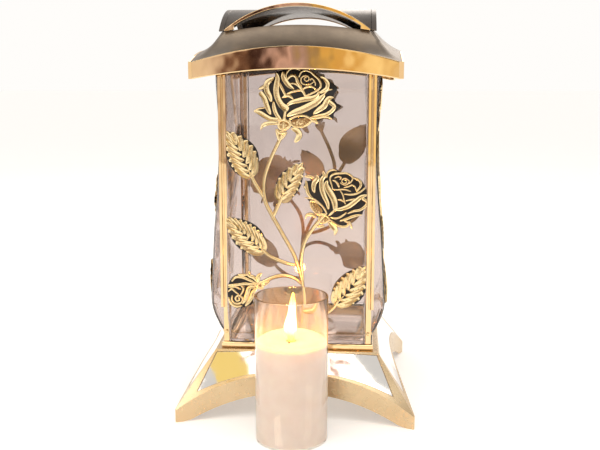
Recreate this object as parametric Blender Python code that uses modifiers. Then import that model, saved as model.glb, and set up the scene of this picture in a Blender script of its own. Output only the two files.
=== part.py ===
"""Sanctuary lamp: a four-sided rose lantern with a glass LED candle standing in front of it.

Everything is in metres, +Z up.  The lantern faces -Y.  The model's origin is on the ground,
under the middle of the lantern and candle together.
"""

import math

import bmesh
import bpy
from mathutils import Matrix, Vector

MM = 0.001
GAP = 0.3 * MM                      # clearance left between pieces that touch

# ---------------------------------------------------------------- base
BODY_HALF = 84.5 * MM               # outer faces of the body's posts
PLATFORM_MARGIN = 5.5 * MM          # ledge round the body
SKIRT_OUTSET = 18 * MM              # platform edge to the middle of a skirt
TOE_OUTSET = 40 * MM                # platform edge to a toe tip, along X and along Y
PLATFORM_Z = 71.5 * MM
PLATFORM_HOLE_HALF = 66 * MM
SKIRT_TOP_MID_Z = 51 * MM
SKIRT_TOP_TOE_Z = 13 * MM
SKIRT_ARCH_Z = 29 * MM              # underside of the skirt at mid side
TOE_FLAT = 14 * MM                  # the skirt reaches the ground this far from the tip
BASE_WALL = 2.4 * MM
SKIRT_TOP_POWER = 2.36
SKIRT_ARCH_POWER = 2.15
SKIRT_PLAN_POWER = 2.0

# mirror plates let into the four slopes of the base
INSET_DEPTH = 1.4 * MM
INSET_THICK = 0.8 * MM
INSET_RECESS = 0.2 * MM
INSET_TOP_SHARE = 0.05              # share of the slope left plain above the plate
INSET_LOW_SHARE = 0.92
INSET_LOW_DROP = 0.08
INSET_SIDE_SHARE = 0.975
INSET_SIDE_TAPER = 0.13

# ---------------------------------------------------------------- body
POST_SIDE = 8.5 * MM
POST_FOOT_SIDE = 6 * MM
POST_STEP_Z = 118 * MM
FLUTE_WIDTH = 2.6 * MM
FLUTE_DEPTH = 1.0 * MM
LOWER_FRAME_HEIGHT = 6 * MM
LOWER_FRAME_WIDTH = 10.5 * MM
TRAY_THICK = 2 * MM
TRAY_RING_HEIGHT = 2 * MM
TRAY_RING_WALL = 1.6 * MM
BODY_TOP_Z = 384 * MM               # top of posts and panes
UPPER_FRAME_HEIGHT = 6 * MM
RIVET_R = 1.9 * MM
RIVET_PROUD = 1.0 * MM
RIVET_Z = 90 * MM

PANE_THICK = 2 * MM
PANE_RIM_DEPTH = 4.5 * MM           # how far the rear rim lies behind the post face
DRAWN_FOOT_Z = 78.1 * MM             # the pane and its ornament are drawn for this foot,
DRAWN_TOP_Z = 384 * MM              # this top
DRAWN_HALF = 75.7 * MM              # and this half width, and stretched to the real ones
# height above the ground, and how far the pane's face stands out from the post face
PANE_PROFILE = ((90, 0.6), (99.5, 5.5), (111, 10.2), (124, 12.5), (139, 11.9), (155, 11),
                (171, 10), (188, 9), (206, 7.8), (222, 6.2), (239, 4.5), (262, 2.9),
                (285, 1.8), (309, 1.2), (337, 2.1), (365, 3.5))
PANE_STEP = 9.9 * MM                 # height of the plain strip at the pane's foot
PANE_FLANGE = -1.0 * MM             # that strip's face, behind the post face

# ---------------------------------------------------------------- ornament on each pane
STEM_R = 1.4 * MM
LEAF_THICK = 2.4 * MM
ROSE_THICK = 4.6 * MM
SMALL_ROSE_THICK = 3.6 * MM
RELIEF_STAGGER = 0.02 * MM           # keeps the backs of joined pieces out of one plane
STEMS = (
    ((-14, 322), (-17, 307), (-28, 283), (-35, 261), (-34, 240), (-26, 223), (-14, 202),
     (-1, 178), (7, 150), (10, 124), (7, 102)),
    ((30, 224), (23, 216), (10, 197), (5.5, 175), (8, 150)),
    ((-44, 146), (-37, 150), (-24, 156), (-12, 158), (-1, 155), (7, 148)),
    ((-37, 187), (-30, 180), (-20, 175), (-8, 171), (1, 170)),
    ((-50, 268), (-46, 260), (-40, 250), (-34, 240)),
    ((-15, 244), (-22, 229), (-26, 219)),
    ((45, 131), (41, 124), (33, 117), (21, 111), (9, 110)),
)
# base, tip and greatest width of each leaf
LEAVES = (
    ((-48, 263), (-75, 313), 26),
    ((-18, 238), (7, 280), 22),
    ((-33, 183), (-75, 219), 26),
    ((42, 126), (73, 168), 26),
)
# centre, half width, half height, thickness
ROSES = (
    ((2, 346), 43, 31, ROSE_THICK),
    ((41, 241), 34.5, 36, ROSE_THICK),
    ((-59, 140), 17, 19.5, SMALL_ROSE_THICK),
)

# ---------------------------------------------------------------- roof
ROOF_OVERHANG = 26.5 * MM           # body face to the fascia's face
ROOF_CHAMFER = 5 * MM
FASCIA_LOW_CORNER = -16.5 * MM      # heights of the roof are given above the body's top
FASCIA_LOW_MID = -6.5 * MM
FASCIA_TOP_CORNER = 1 * MM
FASCIA_TOP_MID = 17 * MM
FASCIA_WALL = 2 * MM
ROOF_WALL = 2 * MM
ROOF_SLOPE_RUN = 31 * MM            # fascia's face to the slopes' upper edge, in plan
ROOF_EYE_CORNER = 33 * MM
ROOF_EYE_MID = 40 * MM
SLOPE_SAG_PLAN = 0.52               # where the slope's control point lies, in plan
SLOPE_SAG_RISE = 0.27               # and how far up it is
VAULT_SETBACK = 2.5 * MM            # slopes' upper edge to the vaults' ends
ARCH_RISE = 28.08 * MM              # from the vault's springing to its crown
ARCH_TOP = 62 * MM
ARCH_WALL = 2.6 * MM
CAP_TOE = 0.8 * MM                  # least thickness of the cap's four corners
RIM_DEPTH = 5.5 * MM
RIM_THICK = 3.6 * MM
RIM_FOOT_WIDTH = 10 * MM
RIM_TOE = 0.5 * MM                  # least height of a rim's foot
DECK_THICK = 2 * MM
DECK_HOLE_HALF = 50 * MM
DECK_SPIGOT_DEPTH = 14 * MM
DECK_SKIRT_CLEARANCE = 2 * MM       # under the slopes, at the corners
SHIELD_HALF = 62 * MM
SHIELD_THICK = 1 * MM
STANDOFF_R = 3 * MM
STANDOFF_HEIGHT = 7 * MM
STANDOFF_OFFSET = 55 * MM

# ---------------------------------------------------------------- candle
CANDLE_STANDOFF = 9.5 * MM          # between the candle and the skirt behind it
GLASS_R = 37.5 * MM
GLASS_HEIGHT = 152 * MM
GLASS_WALL = 1.6 * MM
WAX_CLEARANCE = 0.4 * MM
WAX_TOP_Z = 106.7 * MM
WAX_DISH = 2.2 * MM                 # hollow in the top of the wax
WAX_WALL = 6 * MM
WICK_HOLE_R = 5.4 * MM
FLAME_TOP_Z = 154.5 * MM
FLAME_NECK_R = 4.6 * MM
BOARD_BAY_DEPTH = 9 * MM
BAY_ROOF = 3 * MM                   # plastic left between the batteries and the board
BAY_HEADROOM = 8 * MM               # spring, contact and clearance beyond a battery
CASE_RECESS = 2 * MM                # the underside is set up from the rim
BATTERY_R = 7.1 * MM
BATTERY_LENGTH = 50 * MM
BATTERY_SPACING = 18 * MM
DOOR_WIDTH = 38 * MM
DOOR_DEPTH = 24 * MM
DOOR_THICK = 1.6 * MM
SWITCH_TRAVEL = 4 * MM

# ---------------------------------------------------------------- worked out from the above
PLATFORM_HALF = BODY_HALF + PLATFORM_MARGIN
SKIRT_REACH = PLATFORM_HALF + SKIRT_OUTSET
FOOT_REACH = PLATFORM_HALF + TOE_OUTSET
TOE_FLAT_FROM = FOOT_REACH - TOE_FLAT
CANDLE_FORWARD = SKIRT_REACH + CANDLE_STANDOFF + GLASS_R
LANTERN_Y = (CANDLE_FORWARD + GLASS_R - FOOT_REACH) / 2
CANDLE_Y = LANTERN_Y - CANDLE_FORWARD
FRAME_LOW_Z = PLATFORM_Z + GAP
FRAME_TOP_Z = FRAME_LOW_Z + LOWER_FRAME_HEIGHT
POST_LOW_Z = FRAME_TOP_Z + GAP
POST_INNER = BODY_HALF - POST_SIDE
PANE_HALF = POST_INNER - GAP
PANE_STEP_Z = POST_LOW_Z + PANE_STEP
UPPER_FRAME_Z = BODY_TOP_Z + GAP
UPPER_FRAME_TOP_Z = UPPER_FRAME_Z + UPPER_FRAME_HEIGHT
DECK_Z = UPPER_FRAME_TOP_Z + GAP
FRAME_INNER = BODY_HALF - LOWER_FRAME_WIDTH
PANE_STRETCH = (BODY_TOP_Z - POST_LOW_Z) / (DRAWN_TOP_Z - DRAWN_FOOT_Z)
ROOF_HALF = BODY_HALF + ROOF_OVERHANG
ROOF_EYE_HALF = ROOF_HALF - ROOF_SLOPE_RUN
VAULT_HALF = ROOF_EYE_HALF - VAULT_SETBACK
FASCIA_LOW_CORNER_Z = BODY_TOP_Z + FASCIA_LOW_CORNER
FASCIA_LOW_MID_Z = BODY_TOP_Z + FASCIA_LOW_MID
FASCIA_TOP_CORNER_Z = BODY_TOP_Z + FASCIA_TOP_CORNER
FASCIA_TOP_MID_Z = BODY_TOP_Z + FASCIA_TOP_MID
ROOF_EYE_CORNER_Z = BODY_TOP_Z + ROOF_EYE_CORNER
ROOF_EYE_MID_Z = BODY_TOP_Z + ROOF_EYE_MID
ARCH_R = (VAULT_HALF ** 2 + ARCH_RISE ** 2) / (2 * ARCH_RISE)
ARCH_CENTRE_Z = BODY_TOP_Z + ARCH_TOP - ARCH_R
TUNNEL_R = ARCH_R - ARCH_WALL
EYE_NEAR = ROOF_EYE_HALF * (1 - ROOF_CHAMFER / ROOF_HALF)
CAP_FOOT_Z = ROOF_EYE_CORNER_Z + 4 * GAP
CASE_HEIGHT = BATTERY_LENGTH + BAY_HEADROOM + BAY_ROOF + BOARD_BAY_DEPTH


# ================================================================ helpers

def clear_scene():
    for item in list(bpy.data.objects):
        bpy.data.objects.remove(item, do_unlink=True)


def collection(name):
    made = bpy.data.collections.new(name)
    bpy.context.scene.collection.children.link(made)
    return made


def datum(name, place):
    empty = bpy.data.objects.new(name, None)
    empty.empty_display_size = 0.02
    empty.location = place
    PARTS.objects.link(empty)
    return empty


def material(name, colour, roughness, metallic=0.0, alpha=1.0):
    made = bpy.data.materials.new(name)
    made.use_nodes = True
    shader = made.node_tree.nodes["Principled BSDF"]
    shader.inputs["Base Color"].default_value = (*colour, 1.0)
    shader.inputs["Roughness"].default_value = roughness
    shader.inputs["Metallic"].default_value = metallic
    shader.inputs["Alpha"].default_value = alpha
    return made


def place(name, mesh, finish, parent, turn=0.0):
    """Put a mesh in the scene as a part that hangs on one of the datums."""
    part = bpy.data.objects.new(name, mesh)
    if not mesh.materials:
        mesh.materials.append(finish)
    part.parent = parent
    part.rotation_euler.z = turn
    PARTS.objects.link(part)
    return part


def mesh_from(bm, name, smooth_under=None):
    bmesh.ops.recalc_face_normals(bm, faces=bm.faces)
    mesh = bpy.data.meshes.new(name)
    bm.to_mesh(mesh)
    bm.free()
    if smooth_under:
        mesh.shade_smooth()
        mesh.set_sharp_from_angle(angle=math.radians(smooth_under))
    return mesh


def loft(name, rings, closed_rows=False, smooth_under=None):
    """Skin a run of closed rings.  Closed rows join the last ring to the first,
    which makes a frame; otherwise both ends are capped."""
    bm = bmesh.new()
    rows = [[bm.verts.new(point) for point in ring] for ring in rings]
    pairs = list(zip(rows, rows[1:]))
    if closed_rows:
        pairs.append((rows[-1], rows[0]))
    for low, high in pairs:
        for i in range(len(low)):
            j = (i + 1) % len(low)
            bm.faces.new((low[i], low[j], high[j], high[i]))
    if not closed_rows:
        bm.faces.new(list(reversed(rows[0])))
        bm.faces.new(rows[-1])
    bmesh.ops.remove_doubles(bm, verts=bm.verts, dist=1e-7)
    return mesh_from(bm, name, smooth_under)


def open_skin(name, rings):
    """Skin a run of closed rings and leave both ends open, for a Solidify wall."""
    bm = bmesh.new()
    rows = [[bm.verts.new(point) for point in ring] for ring in rings]
    for low, high in zip(rows, rows[1:]):
        for i in range(len(low)):
            j = (i + 1) % len(low)
            bm.faces.new((low[i], low[j], high[j], high[i]))
    mesh = bpy.data.meshes.new(name)
    bm.to_mesh(mesh)
    bm.free()
    return mesh


def square(half, z, chamfer=0.0):
    """Corners of a square ring, cut by a chamfer where one is given."""
    if not chamfer:
        return [Vector((sx * half, sy * half, z)) for sx, sy in ((-1, -1), (1, -1), (1, 1), (-1, 1))]
    near = half - chamfer
    corners = ((-near, -half), (near, -half), (half, -near), (half, near),
               (near, half), (-near, half), (-half, near), (-half, -near))
    return [Vector((x, y, z)) for x, y in corners]


def square_frame(name, profile, chamfer=0.0):
    """Sweep a closed profile of (half width, height) pairs round a square."""
    return loft(name, [square(half, z, chamfer) for half, z in profile], closed_rows=True)


def turned(name, profile, finish, parent, steps=48, tilt=None, at=(0, 0, 0)):
    """Spin a closed profile of (radius, height) pairs, listed down its outer side."""
    mesh = bpy.data.meshes.new(name)
    count = len(profile)
    ends_on_axis = profile[0][0] < 1e-9 and profile[-1][0] < 1e-9
    edges = [(i, i + 1) for i in range(count - 1)]
    if not ends_on_axis:
        edges.append((count - 1, 0))
    mesh.from_pydata([(r, 0, z) for r, z in profile], edges, [])
    part = place(name, mesh, finish, parent)
    part.location = at
    if tilt:
        part.rotation_euler = tilt
    spin = part.modifiers.new("Spin", "SCREW")
    spin.steps = spin.render_steps = steps
    spin.use_merge_vertices = True
    spin.merge_threshold = 0.000001
    spin.use_smooth_shade = True
    return part


def box_mesh(name, low, high):
    bm = bmesh.new()
    bmesh.ops.create_cube(bm, size=1.0)
    size = [b - a for a, b in zip(low, high)]
    middle = [(a + b) / 2 for a, b in zip(low, high)]
    bmesh.ops.scale(bm, vec=size, verts=bm.verts)
    bmesh.ops.translate(bm, vec=middle, verts=bm.verts)
    return mesh_from(bm, name)


def cylinder_mesh(name, radius, low_z, high_z, segments=32, at=(0.0, 0.0)):
    bm = bmesh.new()
    bmesh.ops.create_cone(bm, cap_ends=True, segments=segments, radius1=radius, radius2=radius,
                          depth=high_z - low_z)
    bmesh.ops.translate(bm, vec=(at[0], at[1], (low_z + high_z) / 2), verts=bm.verts)
    return mesh_from(bm, name, 40)


def cutter(name, mesh, parent, turn=0.0):
    tool = bpy.data.objects.new(name, mesh)
    tool.hide_render = True
    tool.display_type = "WIRE"
    tool.parent = parent
    tool.rotation_euler.z = turn
    CUTTERS.objects.link(tool)
    return tool


def combine(part, tool, operation):
    step = part.modifiers.new(tool.name, "BOOLEAN")
    step.operation = operation
    step.solver = "EXACT"
    step.object = tool


def baked(part):
    """The part's mesh with its modifiers applied, in the part's own axes."""
    bpy.context.view_layer.update()
    graph = bpy.context.evaluated_depsgraph_get()
    return bpy.data.meshes.new_from_object(part.evaluated_get(graph))


# ================================================================ base

def slope_point(across, down):
    """A point on the front slope: across runs -1..1 from ridge to ridge, down 0..1 to the skirt."""
    away = abs(across)
    high = Vector((PLATFORM_HALF * across, -PLATFORM_HALF, PLATFORM_Z))
    low = Vector((FOOT_REACH * across,
                  -(SKIRT_REACH + (FOOT_REACH - SKIRT_REACH) * away ** SKIRT_PLAN_POWER),
                  SKIRT_TOP_MID_Z - (SKIRT_TOP_MID_Z - SKIRT_TOP_TOE_Z) * away ** SKIRT_TOP_POWER))
    return high.lerp(low, down)


def slope_normal(across, down):
    step = 0.001
    along = slope_point(across + step, down) - slope_point(across - step, down)
    fall = slope_point(across, down + step) - slope_point(across, down - step)
    return -along.cross(fall).normalized()


def skirt_low_z(x):
    return max(0.0, SKIRT_ARCH_Z * (1 - (abs(x) / TOE_FLAT_FROM) ** SKIRT_ARCH_POWER))


def side_ring(point_at, stops):
    """Close a ring by turning one side's points round the four sides."""
    ring = []
    for quarter in range(4):
        turn = Matrix.Rotation(quarter * math.pi / 2, 3, "Z")
        ring += [turn @ point_at(stop) for stop in stops[:-1]]
    return ring


def make_base():
    halves = [0.0, 0.13, 0.26, 0.39, 0.52, 0.65, 0.78, TOE_FLAT_FROM / FOOT_REACH, 1.0]
    stops = [-h for h in reversed(halves[1:])] + halves

    def level(half):
        return lambda t: Vector((half * t, -half, PLATFORM_Z))

    def skirt_foot(t):
        top = slope_point(t, 1.0)
        return Vector((top.x, top.y, skirt_low_z(top.x)))

    rings = [side_ring(level(PLATFORM_HOLE_HALF), stops),
             side_ring(lambda t: slope_point(t, 0.0), stops),
             side_ring(lambda t: slope_point(t, 0.5), stops),
             side_ring(lambda t: slope_point(t, 1.0), stops),
             side_ring(skirt_foot, stops)]
    mesh = open_skin("base_shell", [list(reversed(ring)) for ring in rings])
    base = place("base_shell", mesh, SATIN_GOLD, LANTERN)
    wall = base.modifiers.new("Wall", "SOLIDIFY")
    wall.thickness = BASE_WALL
    wall.offset = -1
    wall.use_even_offset = True
    for quarter in range(4):
        turn = quarter * math.pi / 2
        pocket = inset_slab("inset_pocket", 0.0, -INSET_DEPTH, 3 * MM)
        combine(base, cutter(f"inset_pocket_{quarter + 1}", pocket, LANTERN, turn), "DIFFERENCE")
        plate = inset_slab("mirror_inset", GAP, -INSET_RECESS - INSET_THICK, -INSET_RECESS)
        place(f"mirror_inset_{quarter + 1}", plate, MIRROR, LANTERN, turn)
    return base


def inset_slab(name, clearance, low, high):
    """A slab that follows the front slope between two heights along its normal."""
    across_steps, down_steps = 14, 4
    slope_length = (slope_point(0, 1) - slope_point(0, 0)).length
    down_gap = clearance / slope_length
    side_gap = clearance / PLATFORM_HALF

    def spot(i, j, height):
        share = 2 * i / across_steps - 1
        top = INSET_TOP_SHARE + down_gap
        bottom = INSET_LOW_SHARE - INSET_LOW_DROP * share ** 2 - down_gap
        down = top + (bottom - top) * j / down_steps
        across = share * (INSET_SIDE_SHARE - INSET_SIDE_TAPER * down - side_gap)
        return slope_point(across, down) + slope_normal(across, down) * height

    bm = bmesh.new()
    grids = [[[bm.verts.new(spot(i, j, height)) for i in range(across_steps + 1)]
              for j in range(down_steps + 1)] for height in (low, high)]
    for grid in grids:
        for j in range(down_steps):
            for i in range(across_steps):
                bm.faces.new((grid[j][i], grid[j][i + 1], grid[j + 1][i + 1], grid[j + 1][i]))
    below, above = grids
    edge = [(0, i) for i in range(across_steps)]
    edge += [(j, across_steps) for j in range(down_steps)]
    edge += [(down_steps, i) for i in range(across_steps, 0, -1)]
    edge += [(j, 0) for j in range(down_steps, 0, -1)]
    for (j0, i0), (j1, i1) in zip(edge, edge[1:] + edge[:1]):
        bm.faces.new((below[j0][i0], below[j1][i1], above[j1][i1], above[j0][i0]))
    return mesh_from(bm, name)


# ================================================================ body

def make_lower_frame():
    profile = ((BODY_HALF, FRAME_LOW_Z), (BODY_HALF, FRAME_TOP_Z - 1 * MM),
               (BODY_HALF - 1 * MM, FRAME_TOP_Z), (FRAME_INNER, FRAME_TOP_Z), (FRAME_INNER, FRAME_LOW_Z))
    place("lower_frame", square_frame("lower_frame", profile), GOLD, LANTERN)


def make_floor_tray():
    half = FRAME_INNER - GAP
    low = FRAME_LOW_Z
    top = low + TRAY_THICK
    tray = place("floor_tray", box_mesh("floor_tray", (-half, -half, low), (half, half, top)),
                 GOLD_PLASTIC, LANTERN)
    seat = GLASS_R + 4 * GAP
    ring = cutter("tray_ring", cylinder_mesh("tray_ring", seat + TRAY_RING_WALL, low + TRAY_THICK / 2,
                                             top + TRAY_RING_HEIGHT, 48), LANTERN)
    well = cutter("tray_well", cylinder_mesh("tray_well", seat, top, top + 2 * TRAY_RING_HEIGHT, 48),
                  LANTERN)
    combine(tray, ring, "UNION")
    combine(tray, well, "DIFFERENCE")


def post_section(side, flute, z):
    """Plan of the front right post: a square with a shallow flute down each outer face."""
    inner = POST_INNER
    outer = inner + side
    middle = inner + side / 2
    half = FLUTE_WIDTH / 2
    right = [(outer, -inner), (outer, -middle + half), (outer - flute, -middle), (outer, -middle - half)]
    front = [(-y, -x) for x, y in reversed(right)]
    corner = [(outer, -outer)]
    return [Vector((x, y, z)) for x, y in [(inner, -inner)] + right + corner + front]


def make_posts():
    rings = (post_section(POST_FOOT_SIDE, 0, POST_LOW_Z),
             post_section(POST_FOOT_SIDE, 0, POST_STEP_Z),
             post_section(POST_SIDE, 0, POST_STEP_Z),
             post_section(POST_SIDE, FLUTE_DEPTH, POST_STEP_Z + 2 * MM),
             post_section(POST_SIDE, FLUTE_DEPTH, BODY_TOP_Z))
    mesh = loft("post", rings)
    for quarter in range(4):
        place(f"post_{quarter + 1}", mesh, GOLD, LANTERN, quarter * math.pi / 2)
    make_rivets()


def make_rivets():
    """A domed rivet on both outer faces of each post, below its step."""
    strip_face = POST_INNER + POST_FOOT_SIDE + GAP
    strip_middle = POST_INNER + POST_FOOT_SIDE / 2
    number = 0
    for quarter in range(4):
        for hand in (-1, 1):
            number += 1
            face = datum(f"rivet_face_{number}", (0, 0, 0))
            face.parent = LANTERN
            face.rotation_euler.z = quarter * math.pi / 2
            dome = ((0, RIVET_PROUD), (RIVET_R * 0.6, RIVET_PROUD * 0.8), (RIVET_R, RIVET_PROUD * 0.25),
                    (RIVET_R, 0), (0, 0))
            turned(f"post_rivet_{number}", dome, GOLD, face, steps=16,
                   tilt=(math.pi / 2, 0, 0), at=(hand * strip_middle, -strip_face, RIVET_Z))


def stretched(height):
    """Real height of a drawn height in millimetres."""
    return POST_LOW_Z + (height * MM - DRAWN_FOOT_Z) * PANE_STRETCH


def pane_heights():
    """Levels at which the pane's section changes, from its foot to its top."""
    belly = [stretched(height) for height, _ in PANE_PROFILE]
    return [POST_LOW_Z, PANE_STEP_Z] + belly + [BODY_TOP_Z]


def pane_bulge(z):
    """How far the pane's face stands out of the post face at a height: straight between levels."""
    stops = [(POST_LOW_Z, PANE_FLANGE), (PANE_STEP_Z, PANE_FLANGE)]
    stops += [(stretched(height), out * MM) for height, out in PANE_PROFILE]
    stops.append((BODY_TOP_Z, PANE_PROFILE[-1][1] * MM))
    for (z0, out0), (z1, out1) in zip(stops, stops[1:]):
        if z <= z1:
            return out0 + (out1 - out0) * max(0.0, z - z0) / (z1 - z0)
    return stops[-1][1]


def make_panes():
    rim = BODY_HALF - PANE_RIM_DEPTH
    rings = []
    for z in pane_heights():
        face = BODY_HALF + pane_bulge(z)
        outside = [(-PANE_HALF, -rim), (-PANE_HALF, -face), (PANE_HALF, -face), (PANE_HALF, -rim)]
        inner = PANE_HALF - PANE_THICK
        inside = [(inner, -rim), (inner, -face + PANE_THICK), (-inner, -face + PANE_THICK), (-inner, -rim)]
        rings.append([Vector((x, y, z)) for x, y in outside + inside])
    mesh = loft("pane", rings)
    for quarter in range(4):
        place(f"pane_{quarter + 1}", mesh, CLEAR, LANTERN, quarter * math.pi / 2)


# ---------------------------------------------------------------- ornament

def relief_plate(name, outline, thick):
    """A flat outline of (across, up) points in millimetres, raised to its thickness."""
    bm = bmesh.new()
    back = bm.faces.new([bm.verts.new((x * MM, 0, z * MM)) for x, z in outline])
    grown = bmesh.ops.extrude_face_region(bm, geom=[back])
    raised = [item for item in grown["geom"] if isinstance(item, bmesh.types.BMVert)]
    bmesh.ops.translate(bm, vec=(0, -thick, 0), verts=raised)
    return mesh_from(bm, name)


def leaf_outline(base, tip, width):
    base, tip = Vector(base), Vector(tip)
    along = tip - base
    side = Vector((-along.y, along.x)).normalized() * width / 2
    shares = (0.12, 0.3, 0.5, 0.7, 0.88)
    swell = [math.sin(math.pi * share ** 0.85) for share in shares]
    left = [base + along * share + side * out for share, out in zip(shares, swell)]
    right = [base + along * share - side * out for share, out in zip(shares, swell)]
    return [base] + left + [tip] + list(reversed(right))


def rose_outline(centre, half_width, half_height):
    petals, points = 6, 24
    outline = []
    for i in range(points):
        angle = 2 * math.pi * i / points
        swell = 1 - 0.07 * (1 + math.cos(petals * angle)) / 2
        outline.append((centre[0] + half_width * swell * math.cos(angle),
                        centre[1] + half_height * swell * math.sin(angle)))
    return outline


def stem_mesh(name, points):
    """A round stem along chosen points, from a bevelled curve."""
    curve = bpy.data.curves.new(name, "CURVE")
    curve.dimensions = "3D"
    curve.bevel_depth = STEM_R
    curve.bevel_resolution = 0
    curve.use_fill_caps = True
    line = curve.splines.new("POLY")
    line.points.add(len(points) - 1)
    for spot, (x, z) in zip(line.points, points):
        spot.co = (x * MM, -STEM_R, z * MM, 1)
    holder = bpy.data.objects.new(name, curve)
    CUTTERS.objects.link(holder)
    mesh = baked(holder)
    bpy.data.objects.remove(holder, do_unlink=True)
    bpy.data.curves.remove(curve)
    bm = bmesh.new()
    bm.from_mesh(mesh)
    bpy.data.meshes.remove(mesh)
    bmesh.ops.remove_doubles(bm, verts=bm.verts, dist=1e-6)
    return mesh_from(bm, name)


def bend_to_pane(mesh, lift):
    """Fit a flat piece to the pane, cut it at the pane's levels and set its back off the pane's face."""
    bm = bmesh.new()
    bm.from_mesh(mesh)
    for vert in bm.verts:
        vert.co.x *= PANE_HALF / DRAWN_HALF
        vert.co.z = stretched(vert.co.z / MM)
    for z in pane_heights():
        whole = list(bm.verts) + list(bm.edges) + list(bm.faces)
        bmesh.ops.bisect_plane(bm, geom=whole, plane_co=(0, 0, z), plane_no=(0, 0, 1), dist=1e-7)
    for vert in bm.verts:
        vert.co.y -= BODY_HALF + pane_bulge(vert.co.z) + GAP + lift
    bm.to_mesh(mesh)
    bm.free()


def make_ornaments():
    """Stems, leaves and rose blanks, each bent to the pane's face and joined in one relief."""
    pieces = [stem_mesh("stem", stem) for stem in STEMS]
    pieces += [relief_plate("rose", rose_outline(centre, wide, high), thick)
               for centre, wide, high, thick in ROSES]
    pieces += [relief_plate("leaf", leaf_outline(*leaf), LEAF_THICK) for leaf in LEAVES]
    holders = []
    for number, piece in enumerate(pieces):
        bend_to_pane(piece, number * RELIEF_STAGGER)
        holder = bpy.data.objects.new("relief_piece", piece)
        CUTTERS.objects.link(holder)
        holders.append(holder)
    whole = holders[0]
    for tool in holders[1:]:
        combine(whole, tool, "UNION")
    mesh = baked(whole)
    for holder in holders:
        bpy.data.objects.remove(holder, do_unlink=True)
    for quarter in range(4):
        place(f"rose_ornament_{quarter + 1}", mesh, ANTIQUE_GOLD, LANTERN, quarter * math.pi / 2)


def make_upper_frame():
    profile = ((BODY_HALF, UPPER_FRAME_Z), (BODY_HALF, UPPER_FRAME_TOP_Z),
               (FRAME_INNER, UPPER_FRAME_TOP_Z), (FRAME_INNER, UPPER_FRAME_Z))
    place("upper_frame", square_frame("upper_frame", profile), GOLD, LANTERN)


# ================================================================ roof

def fascia_stops():
    near = ROOF_HALF - ROOF_CHAMFER
    count = 12
    return [near * (2 * i / count - 1) for i in range(count + 1)]


def arched(x, corner_z, middle_z):
    """Height of an edge that rises from its corners to the middle of the side."""
    near = ROOF_HALF - ROOF_CHAMFER
    return corner_z + (middle_z - corner_z) * (1 - (x / near) ** 2)


def roof_ring(point_at):
    ring = []
    for quarter in range(4):
        turn = Matrix.Rotation(quarter * math.pi / 2, 3, "Z")
        ring += [turn @ point_at(x) for x in fascia_stops()]
    return ring


def make_fascia():
    def edge(corner_z, middle_z):
        return roof_ring(lambda x: Vector((x, -ROOF_HALF, arched(x, corner_z, middle_z))))

    rings = [edge(FASCIA_TOP_CORNER_Z, FASCIA_TOP_MID_Z), edge(FASCIA_LOW_CORNER_Z, FASCIA_LOW_MID_Z)]
    mesh = open_skin("roof_fascia", [list(reversed(ring)) for ring in rings])
    fascia = place("roof_fascia", mesh, GOLD, ROOF)
    wall = fascia.modifiers.new("Wall", "SOLIDIFY")
    wall.thickness = FASCIA_WALL
    wall.offset = -1
    wall.use_even_offset = True


def eye_z(x):
    """Height of the slopes' upper edge, which rises to the middle of each side."""
    return ROOF_EYE_CORNER_Z + (ROOF_EYE_MID_Z - ROOF_EYE_CORNER_Z) * (1 - (x / EYE_NEAR) ** 2)


def slope_of_roof(x, rise):
    """A point on the front roof slope: rise runs 0 at the fascia to 1 at the eye."""
    near = ROOF_HALF - ROOF_CHAMFER
    share = x / near
    inset = FASCIA_WALL + GAP
    foot_near = near - inset * math.tan(math.pi / 8)
    foot = Vector((share * foot_near, inset - ROOF_HALF, arched(x, FASCIA_TOP_CORNER_Z, FASCIA_TOP_MID_Z)))
    head = Vector((share * EYE_NEAR, -ROOF_EYE_HALF, eye_z(share * EYE_NEAR)))
    bend = foot.lerp(head, SLOPE_SAG_PLAN)
    bend.z = foot.z + (head.z - foot.z) * SLOPE_SAG_RISE
    return foot * (1 - rise) ** 2 + bend * 2 * rise * (1 - rise) + head * rise ** 2


def make_slopes():
    rises = (0.0, 0.35, 0.7, 1.0)
    rings = [roof_ring(lambda x, rise=rise: slope_of_roof(x, rise)) for rise in reversed(rises)]
    mesh = open_skin("roof_slopes", [list(reversed(ring)) for ring in rings])
    slopes = place("roof_slopes", mesh, BRONZE, ROOF)
    wall = slopes.modifiers.new("Wall", "SOLIDIFY")
    wall.thickness = ROOF_WALL
    wall.offset = -1
    wall.use_even_offset = True


def vault_height(x, y, radius, least):
    """Height of two crossing barrels of one radius, the higher one counting."""
    rise = max(math.sqrt(radius ** 2 - x ** 2), math.sqrt(radius ** 2 - y ** 2))
    return max(ARCH_CENTRE_Z + rise, least)


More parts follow.
